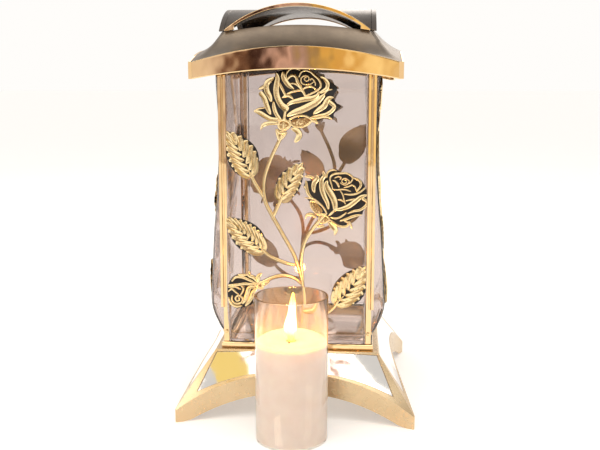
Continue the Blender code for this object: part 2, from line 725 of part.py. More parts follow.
def make_cap():
    """Two low vaults that cross on the diagonals, hollow below and open at their four ends."""
    cells = 16
    bm = bmesh.new()
    spots = [VAULT_HALF * (2 * i / cells - 1) for i in range(cells + 1)]
    crown, ceiling = (
        [[bm.verts.new((x, y, vault_height(x, y, radius, least))) for x in spots] for y in spots]
        for radius, least in ((ARCH_R, CAP_FOOT_Z + CAP_TOE), (TUNNEL_R, CAP_FOOT_Z)))
    for grid in (crown, ceiling):
        for j in range(cells):
            for i in range(cells):
                corners = [grid[j][i], grid[j][i + 1], grid[j + 1][i + 1], grid[j + 1][i]]
                if i == j:
                    bm.faces.new((corners[0], corners[1], corners[2]))
                    bm.faces.new((corners[0], corners[2], corners[3]))
                elif i + j == cells - 1:
                    bm.faces.new((corners[0], corners[1], corners[3]))
                    bm.faces.new((corners[1], corners[2], corners[3]))
                else:
                    bm.faces.new(corners)
    border = [(0, i) for i in range(cells)] + [(j, cells) for j in range(cells)]
    border += [(cells, i) for i in range(cells, 0, -1)] + [(j, 0) for j in range(cells, 0, -1)]
    for (j0, i0), (j1, i1) in zip(border, border[1:] + border[:1]):
        bm.faces.new((ceiling[j0][i0], ceiling[j1][i1], crown[j1][i1], crown[j0][i0]))
    place("roof_cap", mesh_from(bm, "roof_cap", 30), BRONZE, ROOF)


def make_rims():
    """A gold hood in front of each arch: an even arch that stands on two broader feet."""
    near = VAULT_HALF + GAP
    far = near + RIM_DEPTH
    half_steps = 9

    def section(x, stands):
        top = ARCH_CENTRE_Z + math.sqrt(ARCH_R ** 2 - x ** 2)
        low = eye_z(x) + GAP if stands else top - RIM_THICK
        return [Vector((x, y, z)) for y, z in ((-near, low), (-near, top), (-far, top), (-far, low))]

    reach = math.sqrt(ARCH_R ** 2 - (CAP_FOOT_Z + RIM_TOE - ARCH_CENTRE_Z) ** 2)
    foot_inner = reach - RIM_FOOT_WIDTH
    feet = [section(reach, True), section((reach + foot_inner) / 2, True), section(foot_inner, True)]
    spans = [foot_inner * (1 - step / half_steps) for step in range(2 * half_steps + 1)]
    rings = feet + [section(x, False) for x in spans]
    rings += [section(-foot_inner, True), section(-(reach + foot_inner) / 2, True), section(-reach, True)]
    mesh = loft("arch_rim", rings)
    for quarter in range(4):
        place(f"arch_rim_{quarter + 1}", mesh, GOLD, ROOF, quarter * math.pi / 2)


def deck_skirt_top():
    """Height of the slopes' inner side over the body's corner, less a clearance."""
    near = ROOF_HALF - ROOF_CHAMFER
    rise = 0.0
    while rise < 1.0 and -slope_of_roof(near, rise).y > BODY_HALF + ROOF_WALL:
        rise += 0.01
    return slope_of_roof(near, rise).z - ROOF_WALL - DECK_SKIRT_CLEARANCE


def make_deck():
    """The plate under the roof: it stands on the upper frame and plugs inside it."""
    skirt_top = deck_skirt_top()
    spigot = FRAME_INNER - GAP
    wall = DECK_THICK
    top = DECK_Z + DECK_THICK
    profile = ((BODY_HALF, DECK_Z), (BODY_HALF, skirt_top), (BODY_HALF - wall, skirt_top),
               (BODY_HALF - wall, top), (DECK_HOLE_HALF, top), (DECK_HOLE_HALF, DECK_Z),
               (spigot - wall, DECK_Z), (spigot - wall, DECK_Z - DECK_SPIGOT_DEPTH),
               (spigot, DECK_Z - DECK_SPIGOT_DEPTH), (spigot, DECK_Z))
    place("roof_deck", square_frame("roof_deck", profile), BRONZE, ROOF)
    low = top + GAP
    for number, (sx, sy) in enumerate(((-1, -1), (1, -1), (1, 1), (-1, 1)), 1):
        at = (sx * STANDOFF_OFFSET, sy * STANDOFF_OFFSET)
        mesh = cylinder_mesh("shield_standoff", STANDOFF_R, low, low + STANDOFF_HEIGHT, 16, at)
        place(f"shield_standoff_{number}", mesh, STEEL, ROOF)
    z = low + STANDOFF_HEIGHT + GAP
    corner = 12 * MM
    shield = loft("heat_shield", (square(SHIELD_HALF, z, corner),
                                  square(SHIELD_HALF, z + SHIELD_THICK, corner)))
    place("heat_shield", shield, STEEL, ROOF)


# ================================================================ candle

def make_glass():
    inner = GLASS_R - GLASS_WALL
    lip = 0.6 * MM
    edge = 1 * MM
    profile = ((inner + lip, GLASS_HEIGHT), (GLASS_R - lip / 2, GLASS_HEIGHT),
               (GLASS_R, GLASS_HEIGHT - lip), (GLASS_R, edge), (GLASS_R - edge, 0), (inner, 0),
               (inner, GLASS_HEIGHT - lip))
    turned("candle_glass", profile, CLEAR, CANDLE, steps=48)


def make_wax():
    """A wax sleeve with a dished top and a hole for the flame."""
    outer = GLASS_R - GLASS_WALL - WAX_CLEARANCE
    inner = outer - WAX_WALL
    top = WAX_TOP_Z
    ceiling = CASE_RECESS + CASE_HEIGHT + GAP
    profile = ((WICK_HOLE_R, top - WAX_DISH), (outer * 0.45, top - WAX_DISH * 0.8),
               (outer * 0.75, top - WAX_DISH * 0.3), (outer - 2.5 * MM, top),
               (outer - 0.6 * MM, top - 0.7 * MM), (outer, top - 2.5 * MM), (outer, CASE_RECESS),
               (inner, CASE_RECESS), (inner, ceiling), (WICK_HOLE_R, ceiling))
    turned("wax_body", profile, WAX, CANDLE, steps=40)


def flame_centre(share):
    """The flame's middle line sways once from side to side on its way up."""
    return Vector((1.9 * MM * math.sin(2 * math.pi * share * 0.95 + 2.6) * share ** 0.6
                   + 2.0 * MM * share ** 2, 0, 0))


def flame_radius(share):
    """Round at the neck, full low down and drawn out to a blunt tip."""
    neck = FLAME_NECK_R / (1 * MM)
    full = 7.0 * math.exp(-((share - 0.33) / 0.27) ** 2)
    taper = 3.9 * (1 - share) ** 0.8
    return max(0.5, min(neck + 30 * share, full + taper * (0.35 + 0.65 * share))) * MM


def make_flame():
    steps, sides = 14, 14
    low = WAX_TOP_Z - WAX_DISH - 3 * MM
    rings = []
    for i in range(steps + 1):
        share = i / steps
        z = low + (FLAME_TOP_Z - low) * share
        radius = flame_radius(share)
        flat = 1 - 0.35 * math.sin(math.pi * share) ** 2
        twist = 1.1 * share
        middle = flame_centre(share)
        ring = []
        for k in range(sides):
            angle = 2 * math.pi * k / sides
            spot = Vector((radius * math.cos(angle), radius * flat * math.sin(angle), 0))
            ring.append(middle + Matrix.Rotation(twist, 3, "Z") @ spot + Vector((0, 0, z)))
        rings.append(ring)
    place("flame_lens", loft("flame_lens", rings, smooth_under=60), FLAME, CANDLE)


def make_case():
    """The battery case inside the wax: a drum open below at its two bays."""
    wax_inner = GLASS_R - GLASS_WALL - WAX_CLEARANCE - WAX_WALL
    radius = wax_inner - GAP
    low, top = CASE_RECESS, CASE_RECESS + CASE_HEIGHT
    case = place("battery_case", cylinder_mesh("battery_case", radius, low, top, 48), WHITE_PLASTIC, CANDLE)
    bay_top = low + BATTERY_LENGTH + BAY_HEADROOM
    for number, side in enumerate((-1, 1), 1):
        bay = cylinder_mesh("battery_bay", BATTERY_R + GAP, low - 5 * MM, bay_top, 32,
                            (side * BATTERY_SPACING / 2, 0))
        combine(case, cutter(f"battery_bay_{number}", bay, CANDLE), "DIFFERENCE")
    lid = box_mesh("door_seat", (-DOOR_WIDTH / 2 - GAP, -DOOR_DEPTH / 2 - GAP, low - 5 * MM),
                   (DOOR_WIDTH / 2 + GAP, DOOR_DEPTH / 2 + GAP, low + DOOR_THICK + GAP))
    combine(case, cutter("door_seat", lid, CANDLE), "DIFFERENCE")
    slot = box_mesh("switch_slot", (-5 * MM - SWITCH_TRAVEL / 2, switch_y() - 2.5 * MM, low - 5 * MM),
                    (5 * MM + SWITCH_TRAVEL / 2, switch_y() + 2.5 * MM, low + 3 * MM))
    combine(case, cutter("switch_slot", slot, CANDLE), "DIFFERENCE")
    board_low = top - BOARD_BAY_DEPTH
    board_bay = box_mesh("board_bay", (-13 * MM, -9 * MM, board_low), (13 * MM, 9 * MM, top + 5 * MM))
    combine(case, cutter("board_bay", board_bay, CANDLE), "DIFFERENCE")
    make_battery_gear(low, bay_top, board_low)


def switch_y():
    return -(DOOR_DEPTH / 2 + 6 * MM)


def make_battery_gear(low, bay_top, board_low):
    cell_low = low + DOOR_THICK + 4 * MM
    for number, side in enumerate((-1, 1), 1):
        at = (side * BATTERY_SPACING / 2, 0, 0)
        nub = 2.6 * MM
        edge = BATTERY_R - 0.5 * MM
        cell_top = cell_low + BATTERY_LENGTH
        cell = ((0, cell_top), (nub, cell_top), (nub, cell_top - 1.2 * MM),
                (edge, cell_top - 1.2 * MM), (BATTERY_R, cell_top - 2 * MM),
                (BATTERY_R, cell_low + 0.5 * MM), (edge, cell_low), (0, cell_low))
        turned(f"battery_{number}", cell, BATTERY_SKIN, CANDLE, steps=24, at=at)
        contact = cylinder_mesh("contact_plate", BATTERY_R - 1.2 * MM, cell_top + GAP, bay_top - GAP, 16,
                                (at[0], 0))
        place(f"contact_plate_{number}", contact, STEEL, CANDLE)
        make_contact_spring(number, at[0], low + DOOR_THICK + GAP, cell_low - GAP)
    board = box_mesh("circuit_board", (-12 * MM, -8 * MM, board_low + GAP),
                     (12 * MM, 8 * MM, board_low + GAP + 1.6 * MM))
    place("circuit_board", board, BOARD, CANDLE)
    led_low = board_low + 2 * GAP + 1.6 * MM
    led = ((0, led_low + 8 * MM), (1.3 * MM, led_low + 7.5 * MM), (2.4 * MM, led_low + 6 * MM),
           (2.5 * MM, led_low + 1 * MM), (2.9 * MM, led_low + 1 * MM), (2.9 * MM, led_low), (0, led_low))
    turned("led", led, FLAME, CANDLE, steps=20)


def make_contact_spring(number, x, low, high):
    """A short conical coil between the door and the battery."""
    turns, per_turn, wire = 2.5, 10, 0.35 * MM
    curve = bpy.data.curves.new("contact_spring", "CURVE")
    curve.dimensions = "3D"
    curve.bevel_depth = wire
    curve.bevel_resolution = 1
    curve.use_fill_caps = True
    line = curve.splines.new("POLY")
    count = int(turns * per_turn) + 1
    line.points.add(count - 1)
    for i, spot in enumerate(line.points):
        share = i / (count - 1)
        angle = 2 * math.pi * turns * share
        radius = 4.2 * MM - 1.6 * MM * share
        z = low + wire + (high - low - 2 * wire) * share
        spot.co = (radius * math.cos(angle), radius * math.sin(angle), z, 1)
    holder = bpy.data.objects.new("contact_spring", curve)
    CUTTERS.objects.link(holder)
    mesh = baked(holder)
    bpy.data.objects.remove(holder, do_unlink=True)
    bm = bmesh.new()
    bm.from_mesh(mesh)
    bmesh.ops.remove_doubles(bm, verts=bm.verts, dist=1e-6)
    part = place(f"contact_spring_{number}", mesh_from(bm, "contact_spring", 60), STEEL, CANDLE)
    part.location = (x, 0, 0)


def make_door_and_switch():
    low = CASE_RECESS
    hinge = datum("battery_door_hinge", (0, DOOR_DEPTH / 2 - 1 * MM, low + 0.8 * MM))
    hinge.parent = CANDLE
    door = box_mesh("battery_door", (-DOOR_WIDTH / 2, -DOOR_DEPTH + 1 * MM, -0.8 * MM),
                    (DOOR_WIDTH / 2, 0.6 * MM, DOOR_THICK - 0.8 * MM))
    place("battery_door", door, WHITE_PLASTIC, hinge)
    knob = box_mesh("switch_knob", (-2.5 * MM, -2 * MM, -0.6 * MM), (2.5 * MM, 2 * MM, 2.4 * MM))
    slide = datum("switch_slide", (-SWITCH_TRAVEL / 2, switch_y(), low))
    slide.parent = CANDLE
    place("switch_knob", knob, BLACK_PLASTIC, slide)


def make_sensor():
    """The dark receiver bead that shows in the wax just in front of the flame."""
    z = WAX_TOP_Z - WAX_DISH * 0.82
    bead = ((0, z + 1.6 * MM), (0.9 * MM, z + 1.1 * MM), (1.1 * MM, z + GAP), (0, z + GAP))
    turned("sensor_bead", bead, BLACK_PLASTIC, CANDLE, steps=12, at=(-1.5 * MM, -9.5 * MM, 0))


# ================================================================ build

clear_scene()
PARTS = collection("sanctuary_lamp")
CUTTERS = collection("cutters")
LANTERN = datum("lantern_datum", (0, LANTERN_Y, 0))
ROOF = datum("roof_datum", (0, LANTERN_Y, 0))
CANDLE = datum("candle_datum", (0, CANDLE_Y, 0))

GOLD = material("polished gold", (0.80, 0.52, 0.25), 0.12, 1.0)
GOLD_PLASTIC = material("gold tray plastic", (0.78, 0.60, 0.36), 0.35, 0.6)
SATIN_GOLD = material("satin champagne gold", (0.72, 0.52, 0.32), 0.38, 1.0)
ANTIQUE_GOLD = material("antique gold", (0.74, 0.52, 0.28), 0.3, 1.0)
BRONZE = material("taupe bronze", (0.21, 0.165, 0.12), 0.4, 0.8)
MIRROR = material("mirror plate", (0.95, 0.92, 0.86), 0.04, 1.0)
CLEAR = material("clear moulding", (0.92, 0.92, 0.93), 0.04, 0.0, 0.3)
STEEL = material("bright steel", (0.6, 0.6, 0.6), 0.25, 1.0)
WAX = material("ivory wax", (0.86, 0.72, 0.55), 0.5)
FLAME = material("flame lens", (1.0, 0.85, 0.5), 0.3)
WHITE_PLASTIC = material("white plastic", (0.82, 0.81, 0.77), 0.45)
BLACK_PLASTIC = material("black plastic", (0.03, 0.03, 0.03), 0.4)
BATTERY_SKIN = material("battery jacket", (0.12, 0.22, 0.3), 0.35, 0.3)
BOARD = material("circuit board", (0.05, 0.2, 0.08), 0.5)

make_base()
make_lower_frame()
make_floor_tray()
make_posts()
make_panes()
make_ornaments()
make_upper_frame()
make_fascia()
make_slopes()
make_cap()
make_rims()
make_deck()
make_glass()
make_wax()
make_flame()
make_case()
make_door_and_switch()
make_sensor()
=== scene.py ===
"""The looks of a gold rose lantern with a battery candle in front, built on the CAD frame.

Shapes are drawn in millimetres about each unit's own upright axis, front towards -Y, and are
brought to metres and to their place when they are finished.
"""

import math

import bmesh
import bpy
from mathutils import Matrix, Vector


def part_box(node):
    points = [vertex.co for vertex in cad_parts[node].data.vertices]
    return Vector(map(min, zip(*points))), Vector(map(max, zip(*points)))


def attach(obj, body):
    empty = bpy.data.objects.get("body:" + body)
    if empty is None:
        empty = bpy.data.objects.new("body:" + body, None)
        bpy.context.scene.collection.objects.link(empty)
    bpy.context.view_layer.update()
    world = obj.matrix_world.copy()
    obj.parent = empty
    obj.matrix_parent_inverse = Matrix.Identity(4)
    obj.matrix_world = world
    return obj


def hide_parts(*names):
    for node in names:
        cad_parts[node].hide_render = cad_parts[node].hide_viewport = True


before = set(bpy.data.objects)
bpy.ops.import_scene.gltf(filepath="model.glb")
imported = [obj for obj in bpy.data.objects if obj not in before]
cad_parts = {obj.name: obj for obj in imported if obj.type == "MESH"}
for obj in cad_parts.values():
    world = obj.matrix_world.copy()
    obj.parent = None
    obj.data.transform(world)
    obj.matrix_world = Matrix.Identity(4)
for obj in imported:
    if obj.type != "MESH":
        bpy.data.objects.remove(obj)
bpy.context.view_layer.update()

MM = 0.001


def middle_of(node):
    low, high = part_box(node)
    return (low + high) / 2


LANTERN_PLACE = Vector((0, middle_of("roof_fascia").y, 0))
CANDLE_PLACE = Vector((0, middle_of("candle_glass").y, 0))

# ---------------------------------------------------------------- sizes of the lantern, in mm
PLATFORM_HALF = 90.0
PLATFORM_Z = 71.5
PLATFORM_HOLE_HALF = 66.0
SKIRT_REACH = 108.0
FOOT_REACH = 130.0
TOE_FLAT_FROM = 116.0
SKIRT_TOP_MID_Z = 51.0
SKIRT_TOP_TOE_Z = 13.0
SKIRT_ARCH_Z = 29.0
TIP_ROUNDING = 3.2
BASE_WALL = 2.4
INSET_DEPTH = 1.4
INSET_THICK = 0.8

BODY_HALF = 84.5
POST_INNER = 76.0
POST_SIDE = 8.5
POST_FOOT_SIDE = 6.0
POST_LOW_Z = 78.1
POST_STEP_Z = 118.0
BODY_TOP_Z = 384.0
FLUTE_WIDTH = 2.6
FLUTE_DEPTH = 1.0
FRAME_INNER = 74.0
LOWER_FRAME_Z = 71.8
UPPER_FRAME_Z = 384.3
FRAME_HEIGHT = 6.0
GLASS_SEAT_R = 38.7
RIVET_R = 1.9
RIVET_Z = 90.0

PANE_HALF = 75.7
PANE_THICK = 2.0
PANE_RIM = 80.0
PANE_STEP_Z = 88.0
PANE_FLANGE = -1.0
# height, and how far the pane swells out of the post face there
PANE_SWELL = ((90, 0.6), (99.5, 5.5), (111, 10.2), (124, 12.5), (139, 11.9), (155, 11),
              (171, 10), (188, 9), (206, 7.8), (222, 6.2), (239, 4.5), (262, 2.9),
              (285, 1.8), (309, 1.2), (337, 2.1), (365, 3.5), (384, 3.5))

ROOF_HALF = 111.0
ROOF_NEAR = 106.0
FASCIA_WALL = 2.0
FASCIA_LOW = (367.5, 377.5)         # height at the corners and at mid side
FASCIA_TOP = (385.0, 401.0)         # the same
EYE_HALF = 80.0
EYE_NEAR = 76.4
EYE = (417.0, 424.0)
ARCH_R = 121.0
ARCH_CENTRE_Z = 325.0
TUNNEL_R = 118.4
VAULT_HALF = 77.5
CAP_FOOT_Z = 418.2
RIM_NEAR = 77.8
RIM_FAR = 83.3
RIM_THICK = 3.6
RIM_FOOT_WIDTH = 10.0

# ---------------------------------------------------------------- sizes of the candle, in mm
GLASS_R = 37.5
GLASS_INNER = 35.9
GLASS_HEIGHT = 152.0
WAX_R = 35.5
WAX_TOP = 106.7
WICK_HOLE_R = 5.4
FLAME_LOW_Z = 101.5
FLAME_TOP_Z = 154.5
# the painted glow of the flame's light starts in the candle glass at this height
GLOW_LOW_Z = 100.0                   # the flame's light shows in the glass from here up


# ================================================================ shaping

def smooth_line(points, step):
    """Points about one step apart on the smooth line through the given ones."""
    path = [Vector(point) for point in points]
    path = [2 * path[0] - path[1]] + path + [2 * path[-1] - path[-2]]
    line = []
    for before, here, there, after in zip(path, path[1:], path[2:], path[3:]):
        count = max(2, round((there - here).length / step))
        for i in range(count):
            t = i / count
            line.append(0.5 * (2 * here + (there - before) * t
                               + (2 * before - 5 * here + 4 * there - after) * t ** 2
                               + (3 * here - before - 3 * there + after) * t ** 3))
    line.append(path[-2])
    return line


def sheet(bm, across, up, point_at):
    """A sheet of cells whose corner (i, j) is moved to point_at(i, j)."""
    made = []
    for vert in bmesh.ops.create_grid(bm, x_segments=across, y_segments=up, size=1.0)["verts"]:
        i = round((vert.co.x + 1) / 2 * across)
        j = round((vert.co.y + 1) / 2 * up)
        vert.co = point_at(i, j)
        made.append((vert, i, j))
    return made


def weld(bm, distance=0.004):
    bmesh.ops.remove_doubles(bm, verts=bm.verts, dist=distance)
    bmesh.ops.dissolve_degenerate(bm, edges=bm.edges, dist=distance / 4)


def four_sides(bm):
    """Repeats the front side round the other three and welds the joints."""
    front = bm.verts[:] + bm.edges[:] + bm.faces[:]
    for quarter in (1, 2, 3):
        copy = bmesh.ops.duplicate(bm, geom=front)["geom"]
        verts = [item for item in copy if isinstance(item, bmesh.types.BMVert)]
        bmesh.ops.rotate(bm, verts=verts, matrix=Matrix.Rotation(quarter * math.pi / 2, 3, "Z"))
    weld(bm)


def face_outward(bm, inside):
    """Turns an open skin's faces away from a point inside it."""
    bmesh.ops.recalc_face_normals(bm, faces=bm.faces)
    facing = sum(face.normal.dot(face.calc_center_median() - inside) * face.calc_area()
                 for face in bm.faces)
    if facing < 0:
        bmesh.ops.reverse_faces(bm, faces=bm.faces)


def outline(bm, points):
    """A closed run of edges through a few points."""
    verts = [bm.verts.new(point) for point in points]
    return verts, [bm.edges.new(pair) for pair in zip(verts, verts[1:] + verts[:1])]


def turned(bm, profile, steps):
    """Spins a closed profile of (radius, height) pairs right round."""
    verts, edges = outline(bm, [(r, 0, z) for r, z in profile])
    bmesh.ops.spin(bm, geom=verts + edges, cent=(0, 0, 0), axis=(0, 0, 1), angle=2 * math.pi,
                   steps=steps, use_merge=True)
    weld(bm)


def square_frame(bm, profile):
    """Carries a closed profile of (half width, height) pairs round a square, mitred."""
    verts, edges = outline(bm, [(half, -half, z) for half, z in profile])
    bmesh.ops.spin(bm, geom=verts + edges, cent=(0, 0, 0), axis=(0, 0, 1), angle=2 * math.pi,
                   steps=4, use_merge=True)
    weld(bm)


def prism(bm, plan, low, high):
    """A plan of (x, y) points raised from one height to another."""
    face = bm.faces.new([bm.verts.new((x, y, low)) for x, y in plan])
    grown = bmesh.ops.extrude_face_region(bm, geom=[face])["geom"]
    raised = [item for item in grown if isinstance(item, bmesh.types.BMVert)]
    bmesh.ops.translate(bm, vec=(0, 0, high - low), verts=raised)


def rounded_box(bm, low, high, radius, segments=3):
    made = bmesh.ops.create_cube(bm, size=1.0)["verts"]
    size = [b - a for a, b in zip(low, high)]
    centre = [(a + b) / 2 for a, b in zip(low, high)]
    bmesh.ops.scale(bm, vec=size, verts=made)
    bmesh.ops.translate(bm, vec=centre, verts=made)
    edges = list({edge for vert in made for edge in vert.link_edges})
    bmesh.ops.bevel(bm, geom=edges, offset=radius, offset_type="OFFSET", segments=segments,
                    profile=0.5, affect="EDGES", clamp_overlap=True, material=-1)


def finished(bm, name, body, nodes, slot, finish="", wall=0.0, bevel=0.0, smooth=35, closed=True):
    """Brings a shape to metres and to its unit's place, gives it its body and finish, and hides the CAD
    nodes it stands for.

    The finish is the slot's own material unless it is named.
    """
    place = LANTERN_PLACE if body in ("lantern", "roof") else CANDLE_PLACE
    if closed:
        bmesh.ops.recalc_face_normals(bm, faces=bm.faces)
    bmesh.ops.scale(bm, vec=(MM, MM, MM), verts=bm.verts)
    bmesh.ops.translate(bm, vec=place, verts=bm.verts)
    mesh = bpy.data.meshes.new(name)
    bm.to_mesh(mesh)
    bm.free()
    mesh.shade_smooth()
    mesh.set_sharp_from_angle(angle=math.radians(smooth))
    mesh.materials.append(MATERIALS[finish or slot])
    piece = bpy.data.objects.new(name, mesh)
    bpy.context.scene.collection.objects.link(piece)
    if wall:
        shell = piece.modifiers.new("Wall", "SOLIDIFY")
        shell.thickness = wall * MM
        shell.offset = -1
        shell.use_even_offset = True
    if bevel:
        edge = piece.modifiers.new("Edges", "BEVEL")
        edge.width = bevel * MM
        edge.segments = 3
        edge.limit_method = "ANGLE"
        edge.angle_limit = math.radians(32)
        edge.harden_normals = True
    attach(piece, body)
    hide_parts(*nodes)
    return piece


def quarter_turn(bm, quarter):
    bmesh.ops.rotate(bm, verts=bm.verts, matrix=Matrix.Rotation(quarter * math.pi / 2, 3, "Z"))


# ================================================================ materials

NOISE_SPAN = (0.3, 0.7)
ROLLED = (1, 1, 12)                  # squeezes a noise into lines along the strip
WEAVE_PITCH = 1.2                    # mm, coarser than real glass cloth so that it shows

def srgb(code):
    """Linear RGBA of an sRGB hex colour."""
    parts = [int(code[i:i + 2], 16) / 255 for i in (1, 3, 5)]
    return [c / 12.92 if c <= 0.04045 else ((c + 0.055) / 1.055) ** 2.4 for c in parts] + [1.0]


def add(tree, kind, inputs=None, **settings):
    """Adds one node with its settings; an input takes a value or another node's output."""
    node = tree.nodes.new(kind)
    for key, value in settings.items():
        setattr(node, key, value)
    for key, value in (inputs or {}).items():
        if isinstance(value, bpy.types.NodeSocket):
            tree.links.new(value, node.inputs[key])
        else:
            node.inputs[key].default_value = value
    return node


def start(name, **sockets):
    """A Principled material; sockets are named in lower case with underscores."""
    material = bpy.data.materials.new(name)
    material.use_nodes = True
    tree = material.node_tree
    shader = tree.nodes["Principled BSDF"]
    for key, value in sockets.items():
        shader.inputs[key.replace("_", " ").title().replace("Ior", "IOR")].default_value = value
    return material, tree, shader


def object_place(tree, axis):
    """One of the object's own coordinates, in metres."""
    corner = add(tree, "ShaderNodeTexCoord").outputs["Object"]
    return add(tree, "ShaderNodeSeparateXYZ", {0: corner}).outputs[axis]


def grain(tree, size_mm, detail=2.0, stretch=(1, 1, 1)):
    """Noise whose features are about size_mm across, on the object's own coordinates."""
    place = add(tree, "ShaderNodeTexCoord").outputs["Object"]
    if stretch != (1, 1, 1):
        place = add(tree, "ShaderNodeMapping", {"Vector": place, "Scale": stretch}).outputs["Vector"]
    noise = add(tree, "ShaderNodeTexNoise", {"Vector": place, "Scale": 1 / (size_mm * MM),
                                            "Detail": detail})
    return noise.outputs["Fac"]


def uneven(tree, size_mm, low, high, detail=2.0, stretch=(1, 1, 1)):
    """A value that wanders between two; most of a noise lies in NOISE_SPAN."""
    node = add(tree, "ShaderNodeMapRange", {"Value": grain(tree, size_mm, detail, stretch),
                                            "From Min": NOISE_SPAN[0], "From Max": NOISE_SPAN[1],
                                            "To Min": low, "To Max": high})
    return node.outputs["Result"]


def mottled(tree, size_mm, first, second, detail=2.0):
    """A colour that wanders between two."""
    ramp = add(tree, "ShaderNodeValToRGB", {"Fac": grain(tree, size_mm, detail)})
    for step, share, code in zip(ramp.color_ramp.elements, NOISE_SPAN, (first, second)):
        step.color = srgb(code)
        step.position = share
    return ramp.outputs["Color"]


def tones_along(tree, value, tones):
    """Colours laid along a value that runs 0 to 1; tones are (share, hex colour) pairs."""
    ramp = add(tree, "ShaderNodeValToRGB", {"Fac": value})
    for share, code in tones:
        end = {0: 0, 1: -1}.get(share)
        steps = ramp.color_ramp.elements
        step = steps.new(share) if end is None else steps[end]
        step.color = srgb(code)
    return ramp.outputs["Color"]


def up_the_height(tree, low_mm, high_mm):
    """Runs 0 to 1 between two heights of the object."""
    node = add(tree, "ShaderNodeMapRange", {"Value": object_place(tree, "Z"),
                                            "From Min": low_mm * MM, "From Max": high_mm * MM})
    return node.outputs["Result"]


def relief(tree, shader, height, depth_mm):
    """Raises the surface by a height map, for its gloss only."""
    bump = add(tree, "ShaderNodeBump", {"Height": height, "Distance": depth_mm * MM,
                                        "Strength": 1.0})
    tree.links.new(bump.outputs["Normal"], shader.inputs["Normal"])


def metallised_gold(name, light, dark, gloss, wave_mm, wave_depth):
    """Vacuum-metallised ABS: a mirror-bright skin that shows the moulding's slow waves."""
    material, tree, shader = start(name, metallic=1.0)
    tree.links.new(mottled(tree, 26, light, dark), shader.inputs["Base Color"])
    tree.links.new(uneven(tree, 5, gloss, gloss * 1.9, 4), shader.inputs["Roughness"])
    relief(tree, shader, grain(tree, wave_mm, 1.0), wave_depth)
    return material


def polished_gold():
    """Bright metallised plastic of the roof band and posts, with soft ripples in its reflections."""
    return metallised_gold("metallised_polished_gold", "#f6d8a8", "#eecb97", 0.035, 22, 0.3)


def satin_gold():
    """Satin metallised plastic of the base: champagne, with broad soft highlights."""
    material, tree, shader = start("metallised_satin_champagne_gold", metallic=1.0)
    tree.links.new(mottled(tree, 34, "#d9c19c", "#d0b690"), shader.inputs["Base Color"])
    tree.links.new(uneven(tree, 9, 0.24, 0.29, 2), shader.inputs["Roughness"])
    relief(tree, shader, grain(tree, 45, 0.0), 0.06)
    return material


def antique_gold():
    """Gilded casting rubbed with a black-brown wash that stays in the hollows."""
    material, tree, shader = start("antiqued_gilt_casting")
    hollow = add(tree, "ShaderNodeAttribute", attribute_name="wash").outputs["Fac"]
    patchy = add(tree, "ShaderNodeMath", {0: hollow, 1: uneven(tree, 1.6, -0.16, 0.16, 3)},
                 operation="ADD").outputs["Value"]
    worn = add(tree, "ShaderNodeMapRange", {"Value": patchy, "From Min": 0.3, "From Max": 0.72})
    wash = worn.outputs["Result"]
    colour = tones_along(tree, wash, ((0, "#f2daa8"), (1, "#120b08"), (0.4, "#9a6f3c")))
    tree.links.new(colour, shader.inputs["Base Color"])
    tree.links.new(add(tree, "ShaderNodeMapRange", {"Value": wash, "To Min": 1.0, "To Max": 0.0})
                   .outputs["Result"], shader.inputs["Metallic"])
    tree.links.new(add(tree, "ShaderNodeMapRange", {"Value": wash, "To Min": 0.2, "To Max": 0.42})
                   .outputs["Result"], shader.inputs["Roughness"])
    relief(tree, shader, grain(tree, 0.8, 3.0), 0.06)
    return material


def taupe_bronze(name, light, dark, gloss):
    """Bronze lacquer over plastic: brown-grey, half gloss, faintly clouded."""
    material, tree, shader = start(name, metallic=0.85)
    tree.links.new(mottled(tree, 18, light, dark, 3), shader.inputs["Base Color"])
    tree.links.new(uneven(tree, 4, gloss, gloss + 0.08, 4), shader.inputs["Roughness"])
    relief(tree, shader, grain(tree, 20, 1.0), 0.1)
    return material


def silvered_mirror():
    """Mirror plates: near perfect reflection, with the slight waves of thin acrylic."""
    material, tree, shader = start("silvered_acrylic_mirror", metallic=1.0,
                                   base_color=srgb("#f4efe9"))
    tree.links.new(uneven(tree, 9, 0.03, 0.08, 3), shader.inputs["Roughness"])
    relief(tree, shader, grain(tree, 30, 1.0), 0.2)
    return material


def clear_plastic(name, tint, ior, ripple_mm, ripple_depth):
    """Clear, seen straight through; light passes it, so that what is behind stays lit."""
    material, tree, shader = start(name, base_color=srgb(tint), roughness=0.02, ior=ior,
                                   transmission_weight=1.0)
    relief(tree, shader, grain(tree, ripple_mm, 1.0), ripple_depth)
    path = add(tree, "ShaderNodeLightPath")
    through = add(tree, "ShaderNodeBsdfTransparent", {"Color": srgb(tint)})
    mix = add(tree, "ShaderNodeMixShader", {0: path.outputs["Is Shadow Ray"],
                                            1: shader.outputs["BSDF"],
                                            2: through.outputs["BSDF"]})
    tree.links.new(mix.outputs["Shader"], tree.nodes["Material Output"].inputs["Surface"])
    return material


def candle_glass():
    """Clear drawn glass, with a painted amber glow above the wax that stands in for the flame's light.
    """
    material = clear_plastic("clear_candle_glass_painted_glow", "#fbf7f1", 1.5, 24, 0.05)
    tree = material.node_tree
    shader = tree.nodes["Principled BSDF"]
    # painted glow: amber emission up the glass stands in for the flame's light shining in it
    glow = tones_along(tree, up_the_height(tree, GLOW_LOW_Z, GLASS_HEIGHT),
                       ((0, "#000000"), (1, "#120902"), (0.1, "#b87420"), (0.35, "#b06c18"),
                        (0.6, "#5c380c")))
    streaks = uneven(tree, 5, 0.35, 1.2, 3, (1, 1, 0.3))
    streaked = add(tree, "ShaderNodeVectorMath", {0: glow, "Scale": streaks}, operation="SCALE")
    tree.links.new(streaked.outputs["Vector"], shader.inputs["Emission Color"])
    shader.inputs["Emission Strength"].default_value = 0.75
    return material


